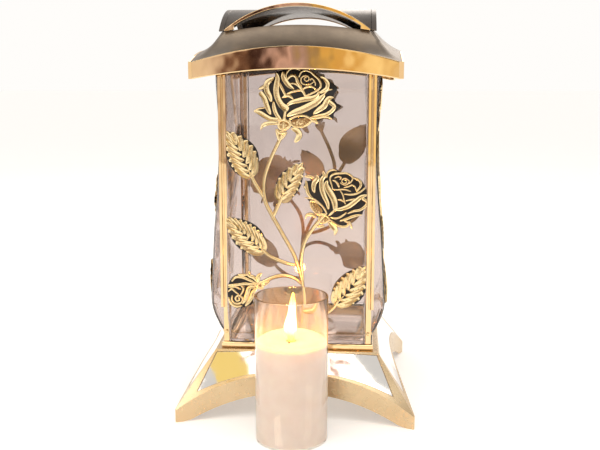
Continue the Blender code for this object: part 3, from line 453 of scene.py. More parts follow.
def candle_wax():
    """Dyed paraffin: warm ivory, dull, with a painted glow of the flame's light that brightens towards
    its top.
    """
    material, tree, shader = start("paraffin_wax_painted_glow", ior=1.43,
                                   subsurface_weight=0.5, subsurface_scale=0.008,
                                   subsurface_radius=(1.0, 0.7, 0.5))
    tree.links.new(mottled(tree, 14, "#f6e9e4", "#f0e0da", 3), shader.inputs["Base Color"])
    tree.links.new(uneven(tree, 3, 0.42, 0.56, 3), shader.inputs["Roughness"])
    # painted glow: emission that brightens up the wax stands in for the flame's light shining through
    # it
    glow = tones_along(tree, up_the_height(tree, 0.0, WAX_TOP),
                       ((0, "#34241c"), (1, "#ffc23c"), (0.55, "#422c20"), (0.82, "#6b4630"),
                        (0.94, "#a8703c"), (0.97, "#e0a030")))
    tree.links.new(glow, shader.inputs["Emission Color"])
    shader.inputs["Emission Strength"].default_value = 0.45
    relief(tree, shader, grain(tree, 2.2, 3.0), 0.08)
    return material


def glowing_flame():
    """Milky lens of the electric flame: white-hot in its belly, yellow at its neck and tip."""
    material, tree, shader = start("lit_milky_flame_lens", roughness=0.35)
    level = add(tree, "ShaderNodeMath", {0: up_the_height(tree, FLAME_LOW_Z, FLAME_TOP_Z),
                                         1: uneven(tree, 5, -0.05, 0.05)}, operation="ADD")
    colour = tones_along(tree, level.outputs["Value"],
                         ((0, "#ffb838"), (1, "#ffcf58"), (0.16, "#ffe27c"), (0.32, "#fffbe8"),
                          (0.7, "#fff6c4"), (0.86, "#ffe284")))
    tree.links.new(colour, shader.inputs["Base Color"])
    tree.links.new(colour, shader.inputs["Emission Color"])
    shader.inputs["Emission Strength"].default_value = 1.25
    relief(tree, shader, grain(tree, 4, 2.0), 0.1)
    return material


def moulded_plastic(name, light, dark, gloss):
    """Moulded ABS: even colour with a fine spark-eroded grain."""
    material, tree, shader = start(name, ior=1.53)
    tree.links.new(mottled(tree, 12, light, dark, 3), shader.inputs["Base Color"])
    tree.links.new(uneven(tree, 1.5, gloss, gloss + 0.12, 3), shader.inputs["Roughness"])
    relief(tree, shader, grain(tree, 0.7, 2.0), 0.02)
    return material


def plated_steel():
    """Nickel-plated steel strip and wire, with fine rolling lines."""
    material, tree, shader = start("nickel_plated_steel", metallic=1.0)
    tree.links.new(mottled(tree, 6, "#d4d2cc", "#bfbcb5"), shader.inputs["Base Color"])
    tree.links.new(uneven(tree, 1.2, 0.18, 0.34, 3, ROLLED), shader.inputs["Roughness"])
    relief(tree, shader, grain(tree, 1.2, 3, ROLLED), 0.01)
    return material


def shrink_sleeve():
    """Printed shrink film of a battery: dark body with a copper band at its top."""
    material, tree, shader = start("battery_shrink_sleeve", roughness=0.28, ior=1.5)
    band = add(tree, "ShaderNodeValToRGB", {"Fac": up_the_height(tree, 8, 60)})
    band.color_ramp.interpolation = "CONSTANT"
    band.color_ramp.elements[0].color = srgb("#24282e")
    band.color_ramp.elements[1].color = srgb("#b4703c")
    band.color_ramp.elements[1].position = 0.7
    tree.links.new(band.outputs["Color"], shader.inputs["Base Color"])
    relief(tree, shader, grain(tree, 3, 2.0), 0.03)
    return material


def circuit_board():
    """Green solder mask over glass laminate, with the weave just showing."""
    material, tree, shader = start("solder_mask_on_laminate", roughness=0.35, ior=1.5)
    place = add(tree, "ShaderNodeTexCoord").outputs["Object"]
    weave = add(tree, "ShaderNodeTexChecker", {"Vector": place, "Scale": 1 / (WEAVE_PITCH * MM),
                                               "Color1": srgb("#1f5a36"), "Color2": srgb("#256640")})
    tree.links.new(weave.outputs["Color"], shader.inputs["Base Color"])
    relief(tree, shader, weave.outputs["Fac"], 0.02)
    return material


MATERIALS = {
    "gold": polished_gold(),
    "tray_gold": metallised_gold("metallised_floor_tray", "#f3ebe2", "#ece1d6", 0.1, 40, 0.05),
    "satin_gold": satin_gold(),
    "antique_gold": antique_gold(),
    "bronze": taupe_bronze("taupe_bronze_lacquer", "#8d8071", "#7c7064", 0.34),
    "cap_bronze": taupe_bronze("dark_bronze_gloss", "#6a6058", "#574e47", 0.2),
    "mirror": silvered_mirror(),
    # painted shade: the panes' pinkish grey tint stands in for a dim room seen through them
    "clear": clear_plastic("clear_acrylic_painted_shade_tint", "#e4dbd8", 1.49, 40, 0.06),
    "glass": candle_glass(),
    "steel": plated_steel(),
    "wax": candle_wax(),
    "flame": glowing_flame(),
    "white_plastic": moulded_plastic("ivory_moulded_abs", "#e9e2d4", "#dfd7c8", 0.38),
    "black_plastic": moulded_plastic("black_moulded_abs", "#1a1a1b", "#242425", 0.32),
    "jacket": shrink_sleeve(),
    "board": circuit_board(),
}


# ================================================================ base

def slope_point(across, down):
    """Front slope of the base: across -1..1 from ridge to ridge, down 0..1 to the skirt."""
    away = abs(across)
    high = Vector((PLATFORM_HALF * across, -PLATFORM_HALF, PLATFORM_Z))
    low = Vector((FOOT_REACH * across, -SKIRT_REACH - (FOOT_REACH - SKIRT_REACH) * away ** 2,
                  SKIRT_TOP_MID_Z - (SKIRT_TOP_MID_Z - SKIRT_TOP_TOE_Z) * away ** 2.36))
    return high.lerp(low, down)


def slope_normal(across, down):
    step = 0.001                         # a share of the slope, small enough to be a tangent
    along = slope_point(across + step, down) - slope_point(across - step, down)
    fall = slope_point(across, down + step) - slope_point(across, down - step)
    return -along.cross(fall).normalized()


def skirt_low_z(x):
    return max(0.0, SKIRT_ARCH_Z * (1 - (abs(x) / TOE_FLAT_FROM) ** 2.15))


def inset_down(share, fall, shrink=0.0):
    """How far down the slope a line of the inset lies, fall running 0..1 from its upper edge."""
    top = 0.05 + shrink
    bottom = 0.92 - 0.08 * share ** 2 - shrink
    return top + (bottom - top) * fall


def inset_side(down, shrink=0.0):
    return 0.975 - 0.13 * down - shrink


def make_base():
    """A cast base: ledge, four concave slopes with a pocket each, and an arched skirt."""
    pocket_cells, margin_cells, fall_cells = 44, 2, 10
    across_cells = pocket_cells + 2 * margin_cells

    def across_at(i, down):
        share = (i - across_cells / 2) / (pocket_cells / 2)
        side = inset_side(min(down, 0.9))
        if abs(share) <= 1:
            return share * side
        beyond = (abs(share) - 1) * (pocket_cells / 2) / margin_cells
        return math.copysign(side + (1 - side) * beyond, share)

    def slope_at(i, j):
        share = max(-1, min(1, (i - across_cells / 2) / (pocket_cells / 2)))
        if j == 0:
            down = 0.0
        elif j == fall_cells + 2:
            down = 1.0
        else:
            down = inset_down(share, (j - 1) / fall_cells)
        return slope_point(across_at(i, down), down)

    def ledge_at(i, j):
        edge = slope_at(i, 0)
        reach = PLATFORM_HALF + (PLATFORM_HOLE_HALF - PLATFORM_HALF) * j / 2
        return Vector((edge.x * reach / PLATFORM_HALF, -reach, PLATFORM_Z))

    def skirt_at(i, j):
        edge = slope_at(i, fall_cells + 2)
        return Vector((edge.x, edge.y, edge.z + (skirt_low_z(edge.x) - edge.z) * j / 5))

    bm = bmesh.new()
    sheet(bm, across_cells, 2, ledge_at)
    sheet(bm, across_cells, 5, skirt_at)
    slope = sheet(bm, across_cells, fall_cells + 2, slope_at)
    inside = {vert for vert, i, j in slope
              if margin_cells <= i <= across_cells - margin_cells and 1 <= j <= fall_cells + 1}
    weld(bm)
    pocket = [face for face in bm.faces if all(vert in inside for vert in face.verts)]
    face_outward(bm, Vector((0, 0, 30)))
    bmesh.ops.inset_region(bm, faces=pocket, thickness=0.15, depth=-INSET_DEPTH, use_even_offset=True)
    four_sides(bm)
    tip_from = FOOT_REACH - 0.1
    tips = [edge for edge in bm.edges
            if all(abs(vert.co.x) > tip_from and abs(vert.co.y) > tip_from for vert in edge.verts)]
    bmesh.ops.bevel(bm, geom=tips, offset=TIP_ROUNDING, offset_type="OFFSET", segments=6, profile=0.5,
                    affect="EDGES", clamp_overlap=False, material=-1)
    weld(bm)
    face_outward(bm, Vector((0, 0, 30)))
    finished(bm, "cast_base", "lantern", ["base_shell"], "satin_gold", wall=BASE_WALL, bevel=0.55,
             closed=False)


def make_inset(quarter):
    """A mirror plate that follows the slope, a hair below its rim, with eased edges."""
    across_cells, fall_cells = 44, 10
    shrink = 0.006

    def plate_at(i, j):
        share = 2 * i / across_cells - 1
        down = inset_down(share, j / fall_cells, shrink)
        across = share * inset_side(down, shrink)
        return slope_point(across, down) - slope_normal(across, down) * 0.2

    bm = bmesh.new()
    sheet(bm, across_cells, fall_cells, plate_at)
    face_outward(bm, Vector((0, 0, 0)))
    quarter_turn(bm, quarter)
    finished(bm, f"mirror_plate_{quarter + 1}", "lantern", [f"mirror_inset_{quarter + 1}"],
             "mirror", wall=INSET_THICK, bevel=0.3, closed=False)


# ================================================================ body

def make_frames():
    """The gold rails under and over the body's glass."""
    low, high = LOWER_FRAME_Z, LOWER_FRAME_Z + FRAME_HEIGHT
    bm = bmesh.new()
    square_frame(bm, ((BODY_HALF, low), (BODY_HALF, high - 1), (BODY_HALF - 1, high),
                      (FRAME_INNER + 0.6, high), (FRAME_INNER, high - 0.6), (FRAME_INNER, low)))
    finished(bm, "lower_rail", "lantern", ["lower_frame"], "gold", bevel=0.5)
    low, high = UPPER_FRAME_Z, UPPER_FRAME_Z + FRAME_HEIGHT
    bm = bmesh.new()
    square_frame(bm, ((BODY_HALF, low), (BODY_HALF, high), (FRAME_INNER, high),
                      (FRAME_INNER, low)))
    finished(bm, "upper_rail", "lantern", ["upper_frame"], "gold", bevel=0.6)


def make_tray():
    """Floor of the lantern: a plate with a raised ring that a glass stands in."""
    half = FRAME_INNER - 0.3
    low, top = LOWER_FRAME_Z, LOWER_FRAME_Z + 2.0
    bm = bmesh.new()
    rounded_box(bm, (-half, -half, low), (half, half, top), 0.5)
    ring = bmesh.new()
    turned(ring, ((GLASS_SEAT_R, top - 0.5), (GLASS_SEAT_R, top + 1.6), (GLASS_SEAT_R + 0.4, top + 2),
                  (GLASS_SEAT_R + 1.2, top + 2), (GLASS_SEAT_R + 1.6, top + 1.6),
                  (GLASS_SEAT_R + 1.6, top - 0.5)), 96)
    joined = bpy.data.meshes.new("tray_ring")
    ring.to_mesh(joined)
    ring.free()
    bm.from_mesh(joined)
    bpy.data.meshes.remove(joined)
    finished(bm, "floor_plate", "lantern", ["floor_tray"], "tray_gold")


def flute_arc(middle, face):
    """Points across a shallow round flute: (offset along the face, distance from the axis)."""
    half = FLUTE_WIDTH / 2
    return [(middle - half * math.cos(math.pi * k / 8), face - FLUTE_DEPTH * math.sin(math.pi * k / 8))
            for k in range(9)]


def make_post(quarter):
    """A corner post: fluted on both outer faces, stepped in above the base."""
    inner, outer = POST_INNER, POST_INNER + POST_SIDE
    middle = POST_INNER + POST_SIDE / 2
    front = [(offset, -depth) for offset, depth in flute_arc(middle, outer)]
    right = [(depth, -offset) for offset, depth in reversed(flute_arc(middle, outer))]
    plan = [(inner, -inner), (inner, -outer)] + front + [(outer, -outer)] + right + [(outer, -inner)]
    slim = inner + POST_FOOT_SIDE
    bm = bmesh.new()
    prism(bm, plan, POST_STEP_Z, BODY_TOP_Z)
    prism(bm, [(inner, -inner), (inner, -slim), (slim, -slim), (slim, -inner)], POST_LOW_Z,
          POST_STEP_Z + 0.5)
    quarter_turn(bm, quarter)
    finished(bm, f"corner_post_{quarter + 1}", "lantern", [f"post_{quarter + 1}"], "gold",
             bevel=0.7)


def make_rivet(number, quarter, hand):
    """A domed rivet head low on a post's face."""
    middle, face = POST_INNER + POST_FOOT_SIDE / 2, POST_INNER + POST_FOOT_SIDE + 0.3
    dome = [(RIVET_R * math.cos(angle), 0.25 + 0.75 * math.sin(angle))
            for angle in (math.pi / 2 * k / 6 for k in range(6))]
    bm = bmesh.new()
    turned(bm, [(0.0, 0.0), (RIVET_R, 0.0)] + dome + [(0.0, 1.0)], 32)
    bmesh.ops.rotate(bm, verts=bm.verts, matrix=Matrix.Rotation(math.pi / 2, 3, "X"))
    bmesh.ops.translate(bm, vec=(hand * middle, -face, RIVET_Z), verts=bm.verts)
    quarter_turn(bm, quarter)
    finished(bm, f"rivet_head_{number}", "lantern", [f"post_rivet_{number}"], "gold")


def swell(z):
    """How far the pane stands out of the post face at a height, along a smooth curve."""
    if z <= PANE_STEP_Z:
        return PANE_FLANGE
    stops = ((PANE_STEP_Z, PANE_FLANGE),) + PANE_SWELL
    for k in range(len(stops) - 1):
        (z0, out0), (z1, out1) = stops[k], stops[k + 1]
        if z <= z1:
            break
    before = stops[max(k - 1, 0)]
    after = stops[min(k + 2, len(stops) - 1)]
    lean0 = (out1 - before[1]) / (z1 - before[0]) * (z1 - z0)
    lean1 = (after[1] - out0) / (after[0] - z0) * (z1 - z0)
    t = min(1.0, (z - z0) / (z1 - z0))
    if k == 0:
        return out0 + (out1 - out0) * t
    return ((2 * t ** 3 - 3 * t ** 2 + 1) * out0 + (t ** 3 - 2 * t ** 2 + t) * lean0
            + (3 * t ** 2 - 2 * t ** 3) * out1 + (t ** 3 - t ** 2) * lean1)


def pane_section(z):
    """Plan of a pane at one height: two returns and a face, with rounded corners."""
    radius = 1.6
    face = BODY_HALF + swell(z)
    left = [(-PANE_HALF, PANE_RIM + (face - radius - PANE_RIM) * k / 3) for k in range(4)]
    corner = [(-PANE_HALF + radius * (1 - math.cos(angle)), face - radius * (1 - math.sin(angle)))
              for angle in (math.pi / 2 * k / 4 for k in range(1, 5))]
    flat = [(-(PANE_HALF - radius) * (1 - k / 8), face) for k in range(1, 8)]
    half = left + corner + flat
    return half + [(0.0, face)] + [(-x, y) for x, y in reversed(half)]


def make_pane(quarter):
    """A clear bowed pane, moulded with a return down each side and a plain strip at its foot."""
    heights = [POST_LOW_Z, 83.0, PANE_STEP_Z - 0.4, PANE_STEP_Z]
    heights += [PANE_STEP_Z + 0.5 + (BODY_TOP_Z - PANE_STEP_Z - 0.5) * k / 74 for k in range(75)]
    sections = [pane_section(z) for z in heights]
    bm = bmesh.new()
    sheet(bm, len(sections[0]) - 1, len(heights) - 1,
          lambda i, j: Vector((sections[j][i][0], -sections[j][i][1], heights[j])))
    face_outward(bm, Vector((0, 0, 230)))
    quarter_turn(bm, quarter)
    finished(bm, f"clear_pane_{quarter + 1}", "lantern", [f"pane_{quarter + 1}"], "clear",
             wall=PANE_THICK, smooth=50, closed=False)


# ================================================================ rose ornament

# stems, from the roses down; (across, up) from the middle of the side
STEMS = (
    ((-14, 322), (-17, 307), (-28, 283), (-35, 261), (-34, 240), (-26, 223), (-14, 202),
     (-1, 178), (7, 150), (10, 124), (7, 102)),
    ((30, 224), (23, 216), (10, 197), (5.5, 175), (8, 150)),
    ((-44, 146), (-37, 150), (-24, 156), (-12, 158), (-1, 155), (7, 148)),
    ((-37, 187), (-30, 180), (-20, 175), (-8, 171), (1, 170)),
    ((-50, 268), (-46, 260), (-40, 250), (-34, 240)),
    ((-15, 244), (-22, 229), (-26, 219)),
    ((45, 131), (41, 124), (33, 117), (21, 111), (9, 110)),
)
STEM_WIDTH = 4.5
# base, tip, width, how far the rib bows to its left, lobes on its left and right
LEAVES = (
    ((-48, 263), (-75, 313), 34, -2.3, 7, 6),
    ((-18, 238), (7, 280), 26, 1.7, 5, 5),
    ((-33, 183), (-77, 220), 31, 0.0, 6, 8),
    ((42, 126), (75, 170), 33, -2.0, 6, 6),
)
# Each lip of a petal: its widths at start, middle and end, then points from the rose's centre.
TOP_ROSE_OUTLINE = (
    (-23.5, 29), (-17, 30.5), (-8.5, 33.5), (1, 32), (7.5, 32), (14.5, 30), (22, 24), (28.5, 22.5),
    (35, 18.5), (41, 12.5), (38, 6.5), (36.5, 2.5), (41, -3.5), (45, -7), (39.5, -11.5), (37.5, -15),
    (36, -20.5), (26.5, -19.5), (19.5, -23), (14, -23), (7.5, -28), (-2, -30), (-8.5, -28),
    (-12, -31.5), (-20, -31), (-22.5, -25), (-22.5, -22), (-31.5, -21.5), (-39.5, -17.5), (-47, -11.5),
    (-40.5, -8), (-36, -7.5), (-40, 4), (-40.5, 7.5), (-37, 10.5), (-41.5, 11.5), (-35.5, 16),
    (-34, 21.5), (-29, 23.5), (-24.5, 24),)
TOP_ROSE_LIPS = (
    ((0.8, 1.3, 1.0), (9, 23), (7.5, 23.5), (6.5, 21.5), (9, 19.5), (11.5, 21.5), (10.5, 24.5),
     (6, 25), (3, 22), (4, 17.5), (8.5, 16), (14, 17), (16.5, 19.5)),
    ((0.9, 1.3, 0.9), (13, 20.5), (14, 22.5), (16.5, 20.5), (18, 17.5), (18, 15)),
    ((1.2, 2.1, 1.2), (5.5, 11.5), (9, 13.5), (14, 14), (18.5, 11.5)),
    ((1.0, 1.8, 2.2), (1, 24), (3, 28.5), (7.5, 30.5), (13, 29), (17, 25.5), (21.5, 21.5),
     (23.5, 17.5), (23.5, 13.5), (20, 10), (14.5, 7), (8.5, 4)),
    ((1.4, 2.5, 1.7), (-11.5, 21), (-8.5, 24.5), (-5, 25.5), (-2, 23.5), (-0.5, 18.5), (3.5, 12),
     (6, 7.5), (8, 3)),
    ((1.3, 1.4, 0.8), (-12, 22.5), (-12.5, 26.5), (-10, 30.5), (-6.5, 32.5), (-2.5, 32.5), (2, 31)),
    ((0.9, 1.8, 1.5), (-9.5, 17), (-3.5, 17), (1, 14), (4, 10.5)),
    ((1.9, 3.7, 0.9), (-15.5, 28.5), (-15.5, 23.5), (-12.5, 18.5), (-8.5, 14), (-4.5, 11.5)),
    ((0.8, 2.3, 1.9), (-20, 19), (-18, 14), (-15.5, 9), (-14, 6)),
    ((1.4, 4.5, 5.8), (-23, 27.5), (-21.5, 22.5), (-22.5, 16), (-23, 9), (-21.5, 2), (-18, -4.5),
     (-13.5, -8.5)),
    ((1.7, 4.3, 2.6), (-28.5, -1), (-30, 4), (-32.5, 8.5), (-33.5, 13.5), (-32, 18.5), (-26.5, 22)),
    ((0.8, 2.6, 1.9), (-41.5, 11.5), (-38, 13), (-34.5, 15.5)),
    ((3.9, 3.9, 1.4), (-39, 6.5), (-35.5, 1.5), (-33, -6.5), (-29.5, -14.5)),
    ((1.0, 3.0, 2.6), (-26, -2), (-25.5, -7.5), (-23.5, -14), (-19.5, -20)),
    ((0.9, 3.7, 2.6), (-47, -11.5), (-40.5, -13.5), (-35, -17), (-29, -20), (-22, -20.5)),
    ((0.8, 1.5, 1.0), (-46, -11), (-41.5, -9), (-35, -8)),
    ((0.6, 3.1, 1.9), (-40, -31), (-37.5, -26.5), (-31.5, -24.5), (-22.5, -24.5)),
    ((2.6, 2.2, 2.8), (-11.5, -7), (-13.5, -11.5), (-14.5, -16), (-15, -20.5)),
    ((0.8, 2.1, 1.5), (-12, 6.5), (-6, 8.5), (0.5, 10), (4, 9.5), (7.5, 5)),
    ((0.9, 2.8, 1.3), (-17, 2.5), (-12, 4.5), (-8, 3.5), (-5.5, 1)),
    ((1.3, 4.0, 1.3), (-12, -6), (-7, -2.5), (0.5, -0.5), (7.5, 1), (14.5, 2), (20, 4.5), (22, 8.5)),
    ((1.4, 5.4, 2.3), (-11.5, -16.5), (-4.5, -13), (4, -10), (12.5, -6), (19.5, -2), (24, 2), (27, 5)),
    ((1.2, 3.0, 1.7), (23.5, 23.5), (27.5, 21.5), (31, 17), (30, 12), (26.5, 9.5), (23.5, 7.5)),
    ((1.2, 1.9, 0.8), (27, 6), (31, 10.5), (35.5, 11)),
    ((0.9, 4.3, 1.4), (16, -14.5), (22, -10), (27.5, -6), (30, -1), (32.5, 2), (36.5, 2.5)),
    ((1.0, 2.8, 3.2), (14.5, -17.5), (22, -16.5), (30.5, -14.5), (36, -10.5), (38, -6.5),
     (33.5, -2.5)),
    ((1.5, 2.7, 1.0), (13, -18.5), (19, -18.5), (26.5, -17), (32.5, -18), (35.5, -20)),
    ((1.7, 1.9, 1.7), (-9, -20), (0, -16.5), (8.5, -17), (14, -21), (8.5, -26.5), (0, -28.5),
     (-5.5, -27), (-8.5, -23.5), (-9, -20)),
    ((1.9, 2.2, 1.9), (-20.5, -22), (-15, -21), (-9.5, -23.5), (-9, -27), (-13, -30.5), (-18.5, -30.5),
     (-21, -27), (-20.5, -22)),
    ((1.7, 2.6, 0.8), (14, -21.5), (17.5, -22), (21, -24.5)),
    ((1.3, 2.8, 1.0), (-23.5, -31), (-19, -34.5), (-12.5, -34)),
    ((1.4, 2.2, 2.2), (-23.5, -31.5), (-22, -37), (-20.5, -42)),
    ((1.3, 2.2, 1.9), (-13, -34.5), (-16, -38.5), (-20, -42)),
    ((1.7, 4.6, 2.2), (-6.5, -30), (-1, -32.5), (1, -37.5), (-3, -43.5)),
)
RIGHT_ROSE_OUTLINE = (
    (-8.5, 24.5), (-8.5, 29.5), (-4.5, 32), (2, 32), (7.5, 29), (15, 28.5), (20, 24.5), (26, 22.5),
    (30, 18.5), (32, 14.5), (34.5, 8), (33.5, 4.5), (35.5, -0.5), (34.5, -6.5), (31.5, -10.5),
    (29, -16.5), (22.5, -18.5), (17.5, -22), (15.5, -28), (9.5, -30), (2.5, -28.5), (-2.5, -24),
    (-8, -25), (-13.5, -26), (-17, -22.5), (-19.5, -16), (-24, -11.5), (-27, -2.5), (-30, 1.5),
    (-26.5, 3), (-31, 9.5), (-33, 12.5), (-31, 19), (-25, 20), (-19.5, 23), (-15.5, 25), (-11.5, 29),)
RIGHT_ROSE_LIPS = (
    ((0.7, 1.1, 0.8), (10, 21), (12.5, 20.5), (12.5, 18), (9.5, 17.5), (7.5, 19.5), (9.5, 22.5),
     (13, 22), (15.5, 19.5), (13, 16), (9, 16), (6, 18)),
    ((0.7, 1.3, 0.8), (0, 23), (4, 24.5), (7, 23.5), (5.5, 21.5)),
    ((0.8, 1.7, 1.8), (-2, 20.5), (1, 19.5), (3, 17), (4.5, 14)),
    ((1.1, 1.6, 0.8), (-2, 11.5), (-3.5, 16.5), (-5, 22), (-3.5, 25.5), (0.5, 27.5), (6.5, 28),
     (12.5, 28), (17, 26), (19, 23), (17.5, 19), (15, 17)),
    ((1.0, 1.6, 0.7), (-8.5, 23.5), (-8, 28), (-5.5, 30.5), (-1, 31.5), (2, 30.5)),
    ((1.0, 2.0, 1.4), (20, 23), (24.5, 21.5), (27.5, 18.5), (27.5, 14.5), (24, 9.5)),
    ((0.8, 1.4, 0.9), (10, 13), (14.5, 14), (18.5, 15.5), (21.5, 14), (23, 10)),
    ((0.9, 1.4, 0.8), (-2.5, 11), (2.5, 10.5), (8, 11), (12.5, 10.5), (17, 9)),
    ((0.9, 1.7, 1.2), (10.5, 6), (16, 5.5), (21.5, 6), (26.5, 8), (29.5, 10), (32, 12.5)),
    ((0.8, 1.3, 0.9), (6, 9.5), (8.5, 6), (10, 1), (11.5, -4.5)),
    ((0.9, 1.7, 0.9), (3.5, 0), (7.5, -0.5), (10, -2.5)),
    ((1.2, 1.5, 0.7), (12.5, -1), (17.5, 0), (22.5, 1)),
    ((1.6, 3.6, 1.3), (2, -10.5), (8, -9.5), (14.5, -7), (19.5, -3.5), (24, 0), (28.5, 3.5),
     (33.5, 5)),
    ((1.0, 4.9, 3.3), (-7.5, 20), (-9, 16.5), (-7.5, 12), (-4, 6.5), (-1, 1), (0.5, -4.5), (1, -10)),
    ((1.2, 3.9, 1.6), (-12.5, 29.5), (-11, 25.5), (-13.5, 21.5), (-14, 16), (-13, 9.5), (-10.5, 3),
     (-7.5, -3.5), (-6.5, -9.5)),
    ((1.2, 3.9, 1.1), (-19.5, 25.5), (-18, 22.5), (-21.5, 18), (-22.5, 12.5), (-21.5, 7.5)),
    ((1.6, 2.7, 1.2), (-30.5, 19), (-30, 14), (-29, 8), (-26, 3), (-22.5, 0.5)),
    ((0.7, 2.2, 1.6), (-33, 12.5), (-31.5, 13), (-29.5, 11.5)),
    ((0.8, 2.4, 1.1), (-32, 24.5), (-26.5, 24), (-21, 23)),
    ((0.7, 1.5, 1.0), (-31.5, 1.5), (-23, 0.5), (-17.5, -2.5), (-12.5, -7.5), (-9.5, -12.5),
     (-8, -15)),
    ((1.2, 1.5, 1.2), (-26, -2), (-25.5, -7), (-22.5, -12), (-18.5, -15.5), (-13.5, -15.5),
     (-8.5, -15), (-11.5, -8.5), (-17, -4), (-23, -2), (-26, -2)),
    ((1.3, 1.6, 1.3), (-16.5, -17), (-10.5, -16.5), (-5.5, -20.5), (-8, -24), (-13.5, -25.5),
     (-16, -22.5), (-16.5, -17)),
    ((1.0, 2.1, 1.6), (-6, -17), (-3, -14.5), (0, -11.5)),
    ((1.0, 1.8, 1.3), (-4, -19), (1.5, -20), (7, -18), (12.5, -14)),
    ((0.9, 2.1, 2.7), (14.5, -14.5), (20.5, -12), (26.5, -11), (31.5, -8), (35, -3), (30.5, 1)),
    ((1.2, 2.2, 0.9), (6.5, -22.5), (13, -20.5), (19, -18), (24.5, -16.5), (29, -16)),
    ((1.2, 2.0, 1.6), (-4, -22), (0, -25), (4.5, -28), (10, -29), (14.5, -27.5), (15.5, -24.5),
     (11.5, -23)),
    ((1.4, 3.9, 1.2), (-6, -24), (-2, -28.5), (1.5, -32.5), (0.5, -37)),
    ((1.1, 1.5, 0.5), (16, -23), (18, -27.5), (19, -31.5)),
    ((1.2, 2.6, 1.2), (-19.5, -26.5), (-16, -29), (-11, -28.5)),
    ((0.8, 2.7, 1.4), (-31, -20), (-29.5, -17), (-24.5, -16), (-20, -19)),
)
SMALL_ROSE_OUTLINE = (
    (-11, 15), (-4, 19), (6.5, 18.5), (15, 15.5), (19.5, 10.5), (16.5, 2.5), (13, -6), (11.5, -13.5),
    (6, -16.5), (0.5, -17.5), (-6.5, -19), (-12, -15.5), (-15, -8.5), (-16, 0), (-15, 7.5),)
SMALL_ROSE_LIPS = (
    ((1.7, 2.2, 1.7), (16, 8), (19.5, 10.5), (23, 8.5), (22, 4), (17.5, 4.5), (16, 8)),
    ((2.9, 3.3, 2.2), (22.5, 7.5), (26, 9.5), (29, 11)),
    ((2.2, 2.8, 1.5), (8, 21), (8, 17.5), (13, 15.5), (17, 11)),
    ((1.6, 3.2, 1.7), (21, 19.5), (18, 16.5), (18, 11)),
    ((1.2, 2.2, 1.6), (15.5, 9.5), (9.5, 12), (2.5, 15), (-3, 16), (-7.5, 15), (-10.5, 11.5)),
    ((1.2, 2.3, 1.2), (16, 8), (10, 8), (3.5, 8.5), (-4, 7.5), (-14.5, 6.5)),
    ((1.5, 1.9, 0.9), (6.5, 18.5), (1, 18), (-4, 18.5)),
    ((1.9, 3.8, 1.6), (13.5, 5), (8.5, 4.5), (6.5, -1), (4.5, -7), (1, -13)),
    ((1.7, 3.5, 1.5), (16, 3.5), (12.5, -0.5), (10.5, -6), (7.5, -11), (4, -15.5)),
    ((1.2, 1.7, 1.3), (-3.5, -7), (-2.5, -9.5), (-5.5, -10.5), (-7, -7), (-3.5, -4.5), (1, -7.5),
     (-1, -12.5), (-7, -13.5), (-11, -9.5), (-10.5, -5)),
    ((1.2, 1.7, 1.0), (-14.5, 0), (-11, 2.5), (-7.5, 0), (-4, -3)),
    ((1.2, 1.9, 1.0), (-1, -3.5), (1, 0), (2, 4), (-0.5, 5.5)),
    ((0.9, 1.6, 1.0), (-14.5, 4.5), (-7.5, 5), (-1, 2.5)),
    ((1.3, 2.0, 1.0), (-14.5, -7.5), (-12, -13.5), (-6.5, -17), (0, -16)),
)
# centre, blank, lips and how far the heart stands out
ROSES = (
    ((2, 346), TOP_ROSE_OUTLINE, TOP_ROSE_LIPS, 1.6),
    ((41, 241), RIGHT_ROSE_OUTLINE, RIGHT_ROSE_LIPS, 1.6),
    ((-59, 140), SMALL_ROSE_OUTLINE, SMALL_ROSE_LIPS, 1.0),
)
# shares of a band's width, its height there and how much wash lies on it
ROUND_BAND = ((-0.5, 0, 0.15), (-0.49, 0.5, 0.8), (-0.42, 0.84, 0.1), (-0.22, 0.98, 0), (0, 1, 0),
              (0.22, 0.98, 0), (0.42, 0.84, 0.1), (0.49, 0.5, 0.8), (0.5, 0, 0.15))
DISHED_BAND = ((-0.5, 0, 0.15), (-0.49, 0.6, 0.8), (-0.43, 1, 0), (-0.24, 0.86, 0.12),
               (0, 0.8, 0.34), (0.24, 0.86, 0.12), (0.43, 1, 0), (0.49, 0.6, 0.8), (0.5, 0, 0.15))
GROOVED_BAND = ((-0.5, 0, 0.15), (-0.48, 0.5, 0.7), (-0.36, 0.88, 0), (-0.1, 1, 0),
                (0.07, 0.97, 0.1), (0.15, 0.84, 0.9), (0.23, 0.94, 0.1), (0.44, 0.6, 0.4),
                (0.5, 0, 0.15))
ORNAMENT_GAP = 0.3
BLANK_THICK = 1.0
BAND_FOOT = -0.12                   # the bands just show through at the back of the blanks
BACK_WASH = 0.15                    # share of a blank's wash that lies on its back
LIP_FULLNESS = 1.5                  # lips are made this much wider than their listed widths
DISH_FROM_WIDTH = 4.2               # lips at least this wide are dished, the others round


def on_pane(x, z, height):
    """A point of the relief: its height is measured from the ornament's back."""
    return Vector((x, -(BODY_HALF + swell(z) + ORNAMENT_GAP + height), z))


def band_width(widths, t):
    """Width along a band: it swells from its first value to the middle one and back."""
    first, middle, last = widths
    end = first + (last - first) * t
    return end + (middle - end) * math.sin(math.pi * t) ** 0.6 if 0 < t < 1 else end


